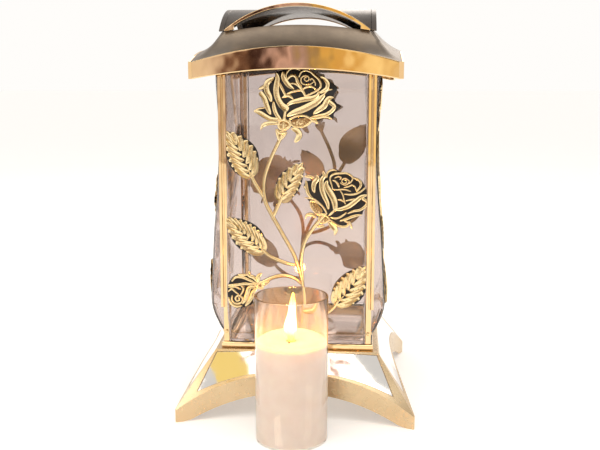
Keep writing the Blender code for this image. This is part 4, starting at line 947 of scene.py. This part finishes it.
def add_band(bm, wash, line, widths, section, crest):
    """Sweeps a band of the relief along a line of (across, up) points, with rounded ends.

    crest(t) gives its height along the way.
    """
    count = len(line) - 1
    around = len(section)
    tangents = [(line[min(k + 1, count)] - line[max(k - 1, 0)]).normalized() for k in range(count + 1)]
    stations = []
    for k, (spot, along) in enumerate(zip(line, tangents)):
        t = k / count
        stations.append((spot, along, band_width(widths, t), crest(t), 1.0))
    for end, way in ((0, -1), (-1, 1)):
        spot, along, width, high, _ = stations[end]
        for reach, size in ((0.24, 0.85), (0.4, 0.5), (0.44, 0.0)):
            cap = (spot + along * way * width * reach, along, width * size, high, size)
            stations.insert(0 if way < 0 else len(stations), cap)

    def band_at(i, j):
        spot, along, width, high, size = stations[j]
        share, height, _ = section[i % around]
        side = Vector((along.y, -along.x)) * share * width
        lift = BAND_FOOT + (high - BAND_FOOT) * height * (0.6 + 0.4 * size)
        return on_pane(spot.x + side.x, spot.y + side.y, lift if size else BAND_FOOT)

    made = sheet(bm, around, len(stations) - 1, band_at)
    for vert, i, j in made:
        vert[wash] = section[i % around][2] if stations[j][4] > 0.3 else 0.6
    bmesh.ops.remove_doubles(bm, verts=[vert for vert, i, j in made], dist=0.002)


def add_blank(bm, wash, rim, heart, dome, thick=BLANK_THICK, shade=1.0):
    """The dark plate behind a flower or leaf: rings shrink from its rim to its heart.

    heart(spot) gives the point that a spot of the rim shrinks to; shade is how much wash lies
    on the plate, whose back stays mostly gold.
    """
    rings = ((1.0, 0.0), (1.0, thick * 0.6), (0.975, thick), (0.75, thick), (0.5, thick),
             (0.25, thick), (0.0, thick))

    def plate_at(i, j):
        share, height = rings[j - 1] if j else (0.0, 0.0)
        spot = rim[i % len(rim)]
        centre = heart(spot)
        place = centre + (spot - centre) * share
        return on_pane(place.x, place.y, height + (dome * (1 - share ** 2) if j else 0))

    made = sheet(bm, len(rim), len(rings), plate_at)
    for vert, i, j in made:
        vert[wash] = shade if j > 1 else shade * BACK_WASH
    bmesh.ops.remove_doubles(bm, verts=[vert for vert, i, j in made], dist=0.002)


def add_stem(bm, wash, points):
    line = smooth_line(points, 2.2)
    add_band(bm, wash, line, (STEM_WIDTH * 0.85, STEM_WIDTH, STEM_WIDTH * 0.5), GROOVED_BAND,
             lambda t: 2.3 - 1.1 * max(0.0, t - 0.8) / 0.2)


def add_rose(bm, wash, centre, blank, lips, dome):
    """A rose: lips of its petals stand on a dark domed plate, highest at its heart."""
    centre = Vector(centre)
    rim = smooth_line([Vector(point) + centre for point in blank + blank[:1]], 2.4)[:-1]
    add_blank(bm, wash, rim, lambda spot: centre, dome)
    reach = max((spot - centre).length for spot in rim)
    for lip in lips:
        widths = [width * LIP_FULLNESS for width in lip[0]]
        line = smooth_line([Vector(point) + centre for point in lip[1:]], 1.5)
        section = DISHED_BAND if max(widths) >= DISH_FROM_WIDTH else ROUND_BAND

        def crest(t, line=line, widths=widths):
            spot = line[round(t * (len(line) - 1))]
            out = min(1.0, (spot - centre).length / reach)
            return BLANK_THICK + dome * (1 - out ** 2) + 0.5 + 0.18 * band_width(widths, t)

        add_band(bm, wash, line, widths, section, crest)
        if lip[1] == lip[-1]:
            middle = sum(line, Vector((0, 0))) / len(line)
            add_blank(bm, wash, line[:-1], lambda spot, middle=middle: middle, 0.5,
                      thick=BLANK_THICK + 0.5, shade=0.42)


def add_leaf(bm, wash, base, tip, width, bow, left_lobes, right_lobes):
    """A leaf: dished lobes sweep forward from the rib on both sides over a dark blade."""
    base, tip = Vector(base), Vector(tip)
    along = tip - base
    length = along.length
    ahead = along.normalized()
    left = Vector((-ahead.y, ahead.x))

    def rib(t):
        return base + along * t + left * bow * math.sin(math.pi * t)

    def half(t):
        return width / 2 * math.sin(math.pi * min(1.0, t) ** 0.82) ** 0.8

    shares = [k / 16 for k in range(17)]
    rim = [rib(t) + left * half(t) for t in shares]
    rim += [rib(t) - left * half(t) for t in reversed(shares[1:-1])]

    def nearest_rib(spot):
        return rib(max(0.0, min(1.0, (spot - base).dot(ahead) / length)))

    add_blank(bm, wash, rim, nearest_rib, 0.0)
    for side, lobes in ((1, left_lobes), (-1, right_lobes)):
        pitch = 0.80 / lobes
        for k in range(lobes):
            t0 = 0.03 + pitch * k
            t1 = min(0.96, t0 + 0.24 - 0.04 * k / lobes)
            out = half(t1) * 0.84
            start_spot = rib(t0) + left * side * 0.6
            end_spot = rib(t1) + left * side * out
            middle = start_spot.lerp(end_spot, 0.5) - ahead * length * 0.028
            quarter_spot = start_spot.lerp(middle, 0.5) - ahead * length * 0.012
            line = smooth_line([start_spot, quarter_spot, middle, end_spot - left * side * out * 0.16
                                - ahead * length * 0.012, end_spot], 1.8)
            broad = pitch * length * 1.08
            add_band(bm, wash, line, (1.8, broad, broad * 0.45), DISHED_BAND,
                     lambda t: 1.35 + 0.75 * math.sin(math.pi * (0.12 + 0.8 * t)))
    point = smooth_line([rib(0.8), rib(0.9), rib(1.0)], 1.8)
    add_band(bm, wash, point, (1.6, 4.4, 0.7), DISHED_BAND, lambda t: 2.0)
    spine = smooth_line([rib(0.0), rib(0.15), rib(0.3)], 2.4)
    add_band(bm, wash, spine, (2.4, 1.5, 0.5), ROUND_BAND, lambda t: 2.0 - 0.9 * t)


def trim_to_pane(bm):
    """Cuts the leaves straight where they meet the posts."""
    for side in (-1, 1):
        whole = bm.verts[:] + bm.edges[:] + bm.faces[:]
        cut = bmesh.ops.bisect_plane(bm, geom=whole, plane_co=(side * (PANE_HALF - 0.2), 0, 0),
                                     plane_no=(side, 0, 0), clear_outer=True, dist=1e-4)["geom_cut"]
        edges = [item for item in cut if isinstance(item, bmesh.types.BMEdge)]
        bmesh.ops.edgeloop_fill(bm, edges=edges)


def make_ornaments():
    """One relief of stems, leaves and roses, the same on each side of the body."""
    bm = bmesh.new()
    wash = bm.verts.layers.float.new("wash")
    for points in STEMS:
        add_stem(bm, wash, points)
    for leaf in LEAVES:
        add_leaf(bm, wash, *leaf)
    for rose in ROSES:
        add_rose(bm, wash, *rose)
    trim_to_pane(bm)
    bmesh.ops.recalc_face_normals(bm, faces=bm.faces)
    for quarter in range(4):
        turned_copy = bm.copy()
        quarter_turn(turned_copy, quarter)
        finished(turned_copy, f"rose_relief_{quarter + 1}", "lantern",
                 [f"rose_ornament_{quarter + 1}"], "antique_gold", smooth=60)
    bm.free()


# ================================================================ roof

def arched(x, corner_and_mid, near=ROOF_NEAR):
    """Height of an edge that rises from the corners to the middle of a side."""
    corner, middle = corner_and_mid
    return corner + (middle - corner) * (1 - (x / near) ** 2)


def roof_skin(bm, rows, point_at, cells=48):
    """A skin round the roof: one side and the chamfer beside it, repeated four times.

    point_at(x, row) gives the front side's points.
    """
    def side_at(i, j):
        if i > cells:
            return Matrix.Rotation(math.pi / 2, 3, "Z") @ point_at(-ROOF_NEAR, j)
        return point_at(ROOF_NEAR * (2 * i / cells - 1), j)

    sheet(bm, cells + 1, rows, side_at)
    four_sides(bm)
    face_outward(bm, Vector((0, 0, 380)))


def make_fascia():
    """The gold band round the roof, with rolled lips along its arched edges."""
    lip = 0.6

    def band_at(x, j):
        low, top = arched(x, FASCIA_LOW), arched(x, FASCIA_TOP)
        share = j / 8
        edge = min(share, 1 - share) * 8
        tuck = 0.2 * (1 - min(1.0, edge)) ** 2
        heights = (low, low + lip, low + 3 * lip)
        if j <= 2:
            z = heights[j]
        elif j >= 6:
            z = top - (heights[8 - j] - low)
        else:
            z = low + 3 * lip + (top - low - 6 * lip) * (j - 2) / 4
        return Vector((x, -ROOF_HALF + tuck, z))

    bm = bmesh.new()
    roof_skin(bm, 8, band_at)
    finished(bm, "fascia_band", "roof", ["roof_fascia"], "gold", wall=FASCIA_WALL, bevel=0.5,
             smooth=28, closed=False)


def eye_z(x):
    return EYE[0] + (EYE[1] - EYE[0]) * (1 - (x / EYE_NEAR) ** 2)


def slope_of_roof(x, rise):
    """Front roof slope, hollowed like a pagoda's: rise runs 0 at the fascia to 1 at the eye."""
    share = x / ROOF_NEAR
    inset = FASCIA_WALL + 0.3
    foot_near = ROOF_NEAR - inset * math.tan(math.pi / 8)
    foot = Vector((share * foot_near, inset - ROOF_HALF, arched(x, FASCIA_TOP)))
    head = Vector((share * EYE_NEAR, -EYE_HALF, eye_z(share * EYE_NEAR)))
    bend = foot.lerp(head, 0.52)
    bend.z = foot.z + (head.z - foot.z) * 0.27
    return foot * (1 - rise) ** 2 + bend * 2 * rise * (1 - rise) + head * rise ** 2


def make_slopes():
    bm = bmesh.new()
    roof_skin(bm, 14, lambda x, j: slope_of_roof(x, j / 14))
    finished(bm, "roof_slope_skin", "roof", ["roof_slopes"], "bronze", wall=2.0, bevel=0.5,
             smooth=24, closed=False)


def vault_height(x, y, radius, least):
    """Height of two crossing barrels of one radius, the higher one counting."""
    near_axis = min(abs(x), abs(y))
    return max(ARCH_CENTRE_Z + math.sqrt(radius ** 2 - near_axis ** 2), least)


def make_cap():
    """Two low vaults that cross on the diagonals, open at their four ends."""
    bm = bmesh.new()
    bmesh.ops.create_grid(bm, x_segments=48, y_segments=48, size=VAULT_HALF)
    for side in (-1, 1):
        whole = bm.verts[:] + bm.edges[:] + bm.faces[:]
        bmesh.ops.bisect_plane(bm, geom=whole, plane_co=(0, 0, 0), plane_no=(1, side, 0), dist=1e-4)
    under = bm.verts[:]
    grown = bmesh.ops.extrude_face_region(bm, geom=bm.faces[:])["geom"]
    over = {item for item in grown if isinstance(item, bmesh.types.BMVert)}
    for vert in bm.verts:
        if vert in over:
            vert.co.z = vault_height(vert.co.x, vert.co.y, ARCH_R, CAP_FOOT_Z + 0.8)
    for vert in under:
        vert.co.z = vault_height(vert.co.x, vert.co.y, TUNNEL_R, CAP_FOOT_Z)
    finished(bm, "vaulted_cap", "roof", ["roof_cap"], "bronze", finish="cap_bronze", smooth=24)


def make_rim(quarter):
    """A hood before each arch, gold at the front and back and dark bronze at the sides, thin over its
    crown and standing on two broad feet.
    """
    reach = math.sqrt(ARCH_R ** 2 - (CAP_FOOT_Z + 0.5 - ARCH_CENTRE_Z) ** 2)
    foot_inner = reach - RIM_FOOT_WIDTH
    feet = [reach - RIM_FOOT_WIDTH * k / 6 for k in range(7)]
    span = [foot_inner * (1 - k / 28) for k in range(57)]
    spots = [(x, True) for x in feet] + [(x, False) for x in span]
    spots += [(-x, True) for x in reversed(feet)]
    corners = ((RIM_NEAR, False), (RIM_NEAR, True), (RIM_FAR, True), (RIM_FAR, False))

    def rim_at(i, j):
        x, stands = spots[j]
        y, upper = corners[i % 4]
        top = ARCH_CENTRE_Z + math.sqrt(ARCH_R ** 2 - x ** 2)
        low = eye_z(x) + 0.3 if stands else top - RIM_THICK
        return Vector((x, -y, top if upper else low))

    bm = bmesh.new()
    sheet(bm, 4, len(spots) - 1, rim_at)
    weld(bm)
    bmesh.ops.holes_fill(bm, edges=bm.edges)
    quarter_turn(bm, quarter)
    finished(bm, f"arch_hood_{quarter + 1}", "roof", [f"arch_rim_{quarter + 1}"], "gold",
             finish="gold" if quarter % 2 == 0 else "cap_bronze", bevel=0.55)


# ================================================================ candle

def make_glass():
    """The glass sleeve, with a fire-rounded lip."""
    middle = (GLASS_R + GLASS_INNER) / 2
    half = (GLASS_R - GLASS_INNER) / 2
    lip = [(middle + half * math.cos(angle), GLASS_HEIGHT - half + half * math.sin(angle))
           for angle in (math.pi * k / 8 for k in range(9))]
    low = [(GLASS_INNER, 0.4), (GLASS_INNER + 0.4, 0.0), (GLASS_R - 0.8, 0.0), (GLASS_R - 0.2, 0.3),
           (GLASS_R, 1.0)]
    walls = [(GLASS_R, GLASS_HEIGHT * k / 8) for k in range(1, 8)]
    bm = bmesh.new()
    turned(bm, low + walls + lip, 128)
    finished(bm, "glass_sleeve", "candle", ["candle_glass"], "glass", smooth=50)


def make_wax():
    """The wax: a softly melted rim round a dish, with a hole for the flame."""
    rim = ((WICK_HOLE_R, 104.5), (9, 104.55), (16, 104.95), (22, 105.5), (27, 106.1), (31, 106.55),
           (33.4, 106.6), (34.7, 106.1), (35.3, 105.1), (WAX_R, 103.6))
    side = [(WAX_R, 103.6 - 101.6 * k / 20) for k in range(1, 21)]
    inner = ((29.5, 2), (29.5, 72.3), (WICK_HOLE_R, 72.3))
    bm = bmesh.new()
    turned(bm, list(rim) + side + list(inner), 128)
    for vert in bm.verts:
        spot = vert.co
        reach = math.hypot(spot.x, spot.y)
        if spot.z > 104 and reach > 12:
            turn = math.atan2(spot.y, spot.x)
            spot.z -= 0.35 * (0.5 + 0.5 * math.sin(3 * turn + 0.7)) * (reach / WAX_R) ** 3
    finished(bm, "melted_wax", "candle", ["wax_body"], "wax")


def make_flame():
    """The flame-shaped lens: a bud that leans, narrows and ends in a wisp."""
    around, up = 32, 44

    def flame_at(i, j):
        share = (j - 1) / (up - 2) if 0 < j < up else (0.0 if j == 0 else 1.0)
        z = FLAME_LOW_Z + (FLAME_TOP_Z - FLAME_LOW_Z) * share
        centre = 2.0 * share ** 2 - 1.3 * math.sin(math.pi * min(1.0, share / 0.62)) ** 2
        if j in (0, up):
            return Vector((centre, 0, z))
        bud = 6.6 * math.exp(-((share - 0.3) / 0.26) ** 2)
        wisp = 3.6 * math.exp(-((share - 0.72) / 0.24) ** 2)
        radius = max(0.45, min(4.6 + 30 * share, bud + wisp, 15 * (1 - share) ** 0.75))
        turn = 2 * math.pi * i / around
        flat = 1 - 0.35 * math.sin(math.pi * share) ** 2
        spot = Vector((radius * math.cos(turn), radius * flat * math.sin(turn), 0))
        spot = Matrix.Rotation(1.1 * share, 3, "Z") @ spot
        return Vector((centre + spot.x, spot.y, z))

    bm = bmesh.new()
    sheet(bm, around, up, flame_at)
    weld(bm)
    finished(bm, "flame_lens_skin", "candle", ["flame_lens"], "flame", smooth=60)


def make_sensor():
    """The dark bead of the light sensor, sunk in the wax before the flame."""
    low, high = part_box("sensor_bead")
    centre = (low + high) / 2 / MM - CANDLE_PLACE / MM
    half = (high - low) / 2 / MM
    dome = [(half.x * math.cos(angle), half.z * (0.1 + 0.9 * math.sin(angle)))
            for angle in (math.pi / 2 * k / 8 for k in range(8))]
    bm = bmesh.new()
    turned(bm, [(0.0, -half.z), (half.x, -half.z)] + dome + [(0.0, half.z)], 32)
    bmesh.ops.translate(bm, vec=centre, verts=bm.verts)
    finished(bm, "sensor_dome", "candle", ["sensor_bead"], "black_plastic")


def make_door():
    """The battery door: a thin lid with finger ridges and the barrel of its hinge."""
    low, high = (corner / MM - CANDLE_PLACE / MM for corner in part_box("battery_door"))
    barrel_r = 1.0
    bm = bmesh.new()
    rounded_box(bm, (low.x, low.y, low.z + 0.35), (high.x, high.y - 1.4, min(high.z, low.z + 1.6)), 0.4)
    for k in range(6):
        y = low.y + 3.5 + 1.8 * k
        rounded_box(bm, (low.x + 9, y, low.z), (high.x - 9, y + 0.8, low.z + 0.6), 0.25, 2)
    barrel = bmesh.ops.create_cone(bm, cap_ends=True, segments=24, radius1=barrel_r, radius2=barrel_r,
                                   depth=high.x - low.x - 6)["verts"]
    bmesh.ops.rotate(bm, verts=barrel, matrix=Matrix.Rotation(math.pi / 2, 3, "Y"))
    bmesh.ops.translate(bm, vec=((low.x + high.x) / 2, high.y - barrel_r, low.z + 1.1), verts=barrel)
    finished(bm, "battery_lid", "battery_door", ["battery_door"], "white_plastic")


def make_switch():
    """The slide switch's knob, with three grip ridges."""
    low, high = (corner / MM - CANDLE_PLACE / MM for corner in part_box("switch_knob"))
    bm = bmesh.new()
    rounded_box(bm, (low.x, low.y, low.z + 0.5), tuple(high), 0.3)
    for k in range(3):
        x = low.x + (high.x - low.x) * (k + 1) / 4
        rounded_box(bm, (x - 0.35, low.y + 0.4, low.z), (x + 0.35, high.y - 0.4, low.z + 0.9), 0.2, 2)
    finished(bm, "switch_grip", "switch", ["switch_knob"], "black_plastic")


# ================================================================ pieces shown as cut

def finish_cad_nodes():
    """The inner works keep their CAD shape and take the finish of their slot."""
    finishes = {
        "roof_deck": "cap_bronze", "heat_shield": "steel", "led": "flame",
        "battery_case": "white_plastic", "circuit_board": "board",
        "battery_1": "jacket", "battery_2": "jacket",
        "contact_plate_1": "steel", "contact_plate_2": "steel",
        "contact_spring_1": "steel", "contact_spring_2": "steel",
    }
    finishes.update({f"shield_standoff_{k}": "steel" for k in range(1, 5)})
    for node, finish in finishes.items():
        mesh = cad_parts[node].data
        mesh.materials.clear()
        mesh.materials.append(MATERIALS[finish])


# ================================================================ studio

def staged(name, bm, material):
    mesh = bpy.data.meshes.new(name)
    bm.to_mesh(mesh)
    bm.free()
    mesh.materials.append(material)
    made = bpy.data.objects.new(name, mesh)
    bpy.context.scene.collection.objects.link(made)
    return made


def make_floor():
    """A plain pale floor."""
    material, tree, shader = start("studio_floor", roughness=0.9, emission_strength=0.36,
                                   emission_color=srgb("#fffdfa"))
    tree.links.new(mottled(tree, 60, "#f4f2ef", "#f0eeea"), shader.inputs["Base Color"])
    bm = bmesh.new()
    bmesh.ops.create_grid(bm, x_segments=1, y_segments=1, size=60)
    staged("floor", bm, material)


ROOM_RADIUS = 3.0                    # metres, as everything in the studio
ROOM_HEIGHT = 2.2
# reflections round the room: bearing in degrees right of straight ahead, colour and brightness
ROOM_BANDS = (
    (-180, "#fff6ee", 0.9), (-96, "#fff4e8", 1.0), (-80, "#8c7a6c", 0.5), (-60, "#f6ecdf", 1.0),
    (-40, "#fff8f0", 1.2), (-28, "#8a7a6e", 0.5), (-18, "#f2ece6", 1.0), (-11.5, "#f8ecec", 1.0),
    (-10.8, "#c8a090", 0.7), (-9.4, "#94685c", 0.5), (-8.4, "#5a3c38", 0.35),
    (-7.4, "#a07c7c", 0.6), (-6.8, "#4a3234", 0.35), (-5.6, "#e8c8d4", 0.95),
    (-4.6, "#a88490", 0.6), (-3.8, "#e4ccd8", 0.9), (-3.0, "#6e4c40", 0.4),
    (-2.4, "#fce0a8", 1.2), (-1.4, "#eec878", 0.95), (-0.4, "#e8b860", 0.9),
    (2.6, "#fff0c4", 1.25), (3.4, "#f0cc88", 0.95), (6, "#f8e4c0", 1.0), (9, "#8c7460", 0.5),
    (20, "#6a584a", 0.4), (34, "#fff6ec", 1.1), (52, "#f2e4d6", 0.9), (72, "#8c7c6e", 0.5),
    (86, "#fff2e4", 1.0), (140, "#fff6ee", 0.95),
)


def emitter(name):
    """A material that only gives out light; returns it with its tree and its emission node."""
    material = bpy.data.materials.new(name)
    material.use_nodes = True
    tree = material.node_tree
    tree.nodes.remove(tree.nodes["Principled BSDF"])
    glow = add(tree, "ShaderNodeEmission")
    tree.links.new(glow.outputs["Emission"], tree.nodes["Material Output"].inputs["Surface"])
    return material, tree, glow


def only_reflected(piece):
    """Hides a stage piece from all but reflections."""
    piece.visible_camera = False
    piece.visible_diffuse = False
    piece.visible_transmission = False
    piece.visible_shadow = False


def make_room():
    """Walls that only reflections see: dark and bright bands give the gold its contrast."""
    material, tree, glow = emitter("room_reflections")
    flipped = add(tree, "ShaderNodeMath", {0: object_place(tree, "Y"), 1: -1.0}, operation="MULTIPLY")
    bearing = add(tree, "ShaderNodeMath", {0: object_place(tree, "X"), 1: flipped.outputs["Value"]},
                  operation="ARCTAN2")
    turn = add(tree, "ShaderNodeMapRange", {"Value": bearing.outputs["Value"], "From Min": -math.pi,
                                            "From Max": math.pi})
    bands = add(tree, "ShaderNodeValToRGB", {"Fac": turn.outputs["Result"]})
    ramp = bands.color_ramp
    for number, (degrees, code, power) in enumerate(ROOM_BANDS):
        step = ramp.elements[0] if number == 0 else ramp.elements.new((degrees + 180) / 360)
        step.position = (degrees + 180) / 360
        step.color = [c * power for c in srgb(code)[:3]] + [1.0]
    ramp.elements[-1].position = 1.0
    tree.links.new(bands.outputs["Color"], glow.inputs["Color"])
    bm = bmesh.new()
    bmesh.ops.create_cone(bm, cap_ends=False, segments=96, radius1=ROOM_RADIUS, radius2=ROOM_RADIUS,
                          depth=ROOM_HEIGHT)
    bmesh.ops.translate(bm, vec=(0, 0, ROOM_HEIGHT / 2), verts=bm.verts)
    only_reflected(staged("reflected_room", bm, material))


def reflected_card(name, place, size, turn, colour, power):
    """A coloured card overhead that only reflections see."""
    material, tree, glow = emitter(name)
    glow.inputs["Color"].default_value = srgb(colour)
    glow.inputs["Strength"].default_value = power
    bm = bmesh.new()
    bmesh.ops.create_grid(bm, x_segments=1, y_segments=1, size=0.5)
    bmesh.ops.scale(bm, vec=(size[0], size[1], 1), verts=bm.verts)
    bmesh.ops.rotate(bm, verts=bm.verts, matrix=Matrix.Rotation(math.radians(turn), 3, "Z"))
    bmesh.ops.translate(bm, vec=place, verts=bm.verts)
    only_reflected(staged(name, bm, material))


def make_cards():
    """Amber and peach tones for the mirror plates of the base."""
    reflected_card("amber_card", (-0.48, -0.95, 1.5), (0.3, 0.9), 12, "#ffdf86", 1.0)
    reflected_card("peach_card_left", (-0.275, -0.795, 1.45), (0.2, 0.022), 31, "#e8a27c", 0.8)
    reflected_card("peach_card_right", (0.06, -0.795, 1.45), (0.2, 0.022), -32, "#e8a888", 0.8)
    reflected_card("grey_card", (0.2, -0.79, 1.5), (0.1, 0.05), -40, "#b4b0b2", 0.65)


def area_light(name, place, aim, size, power, colour):
    data = bpy.data.lights.new(name, "AREA")
    data.shape = "RECTANGLE"
    data.size, data.size_y = size
    data.energy = power
    data.color = srgb(colour)[:3]
    lamp = bpy.data.objects.new(name, data)
    lamp.location = place
    lamp.rotation_euler = (Vector(aim) - Vector(place)).to_track_quat("-Z", "Y").to_euler()
    bpy.context.scene.collection.objects.link(lamp)
    return lamp


def make_lights():
    """A white surround, one large key, a fill, a softbox overhead, and the flame's own glow."""
    world = bpy.data.worlds.new("studio_surround")
    world.use_nodes = True
    tree = world.node_tree
    tree.nodes["Background"].inputs["Color"].default_value = srgb("#fffdfa")
    path = add(tree, "ShaderNodeLightPath")
    seen = add(tree, "ShaderNodeMath", {0: path.outputs["Is Camera Ray"],
                                        1: path.outputs["Is Transmission Ray"]}, operation="MAXIMUM")
    power = add(tree, "ShaderNodeMapRange", {"Value": seen.outputs["Value"], "To Min": 0.72,
                                             "To Max": 1.0})
    tree.links.new(power.outputs["Result"], tree.nodes["Background"].inputs["Strength"])
    bpy.context.scene.world = world
    middle = (0, 0, 0.2)
    area_light("key_softbox", (-1.3, -1.5, 1.5), middle, (0.9, 1.2), 9, "#fff6ea")
    area_light("fill_softbox", (1.6, -1.0, 0.9), middle, (0.8, 1.2), 3, "#fff4e8")
    area_light("overhead_softbox", (0, -0.5, 1.7), middle, (1.2, 1.0), 7, "#fffaf2")
    area_light("back_softbox", (0.4, 1.5, 1.2), middle, (1.2, 0.8), 5, "#fff6ec")
    glow = bpy.data.lights.new("flame_glow", "POINT")
    glow.energy = 0.22
    glow.shadow_soft_size = 0.006
    glow.color = srgb("#ffb04a")[:3]
    lamp = bpy.data.objects.new("flame_glow", glow)
    lamp.location = CANDLE_PLACE + Vector((0, 0, (FLAME_TOP_Z + 6) * MM))
    bpy.context.scene.collection.objects.link(lamp)


def make_camera():
    data = bpy.data.cameras.new("camera")
    data.lens = 48.18
    camera = bpy.data.objects.new("camera", data)
    camera.location = (0.0675, -0.9097, 0.361)
    camera.rotation_euler = (math.radians(80.15), 0, math.radians(4.27))
    bpy.context.scene.collection.objects.link(camera)
    bpy.context.scene.camera = camera


make_base()
make_frames()
make_tray()
for side in range(4):
    make_inset(side)
    make_post(side)
    make_pane(side)
    make_rim(side)
    for pair, side_hand in enumerate((-1, 1)):
        make_rivet(2 * side + pair + 1, side, side_hand)
make_ornaments()
make_fascia()
make_slopes()
make_cap()
make_glass()
make_wax()
make_flame()
make_sensor()
make_door()
make_switch()
finish_cad_nodes()
make_floor()
make_room()
make_cards()
make_lights()
make_camera()
bpy.context.scene.view_settings.view_transform = "Standard"
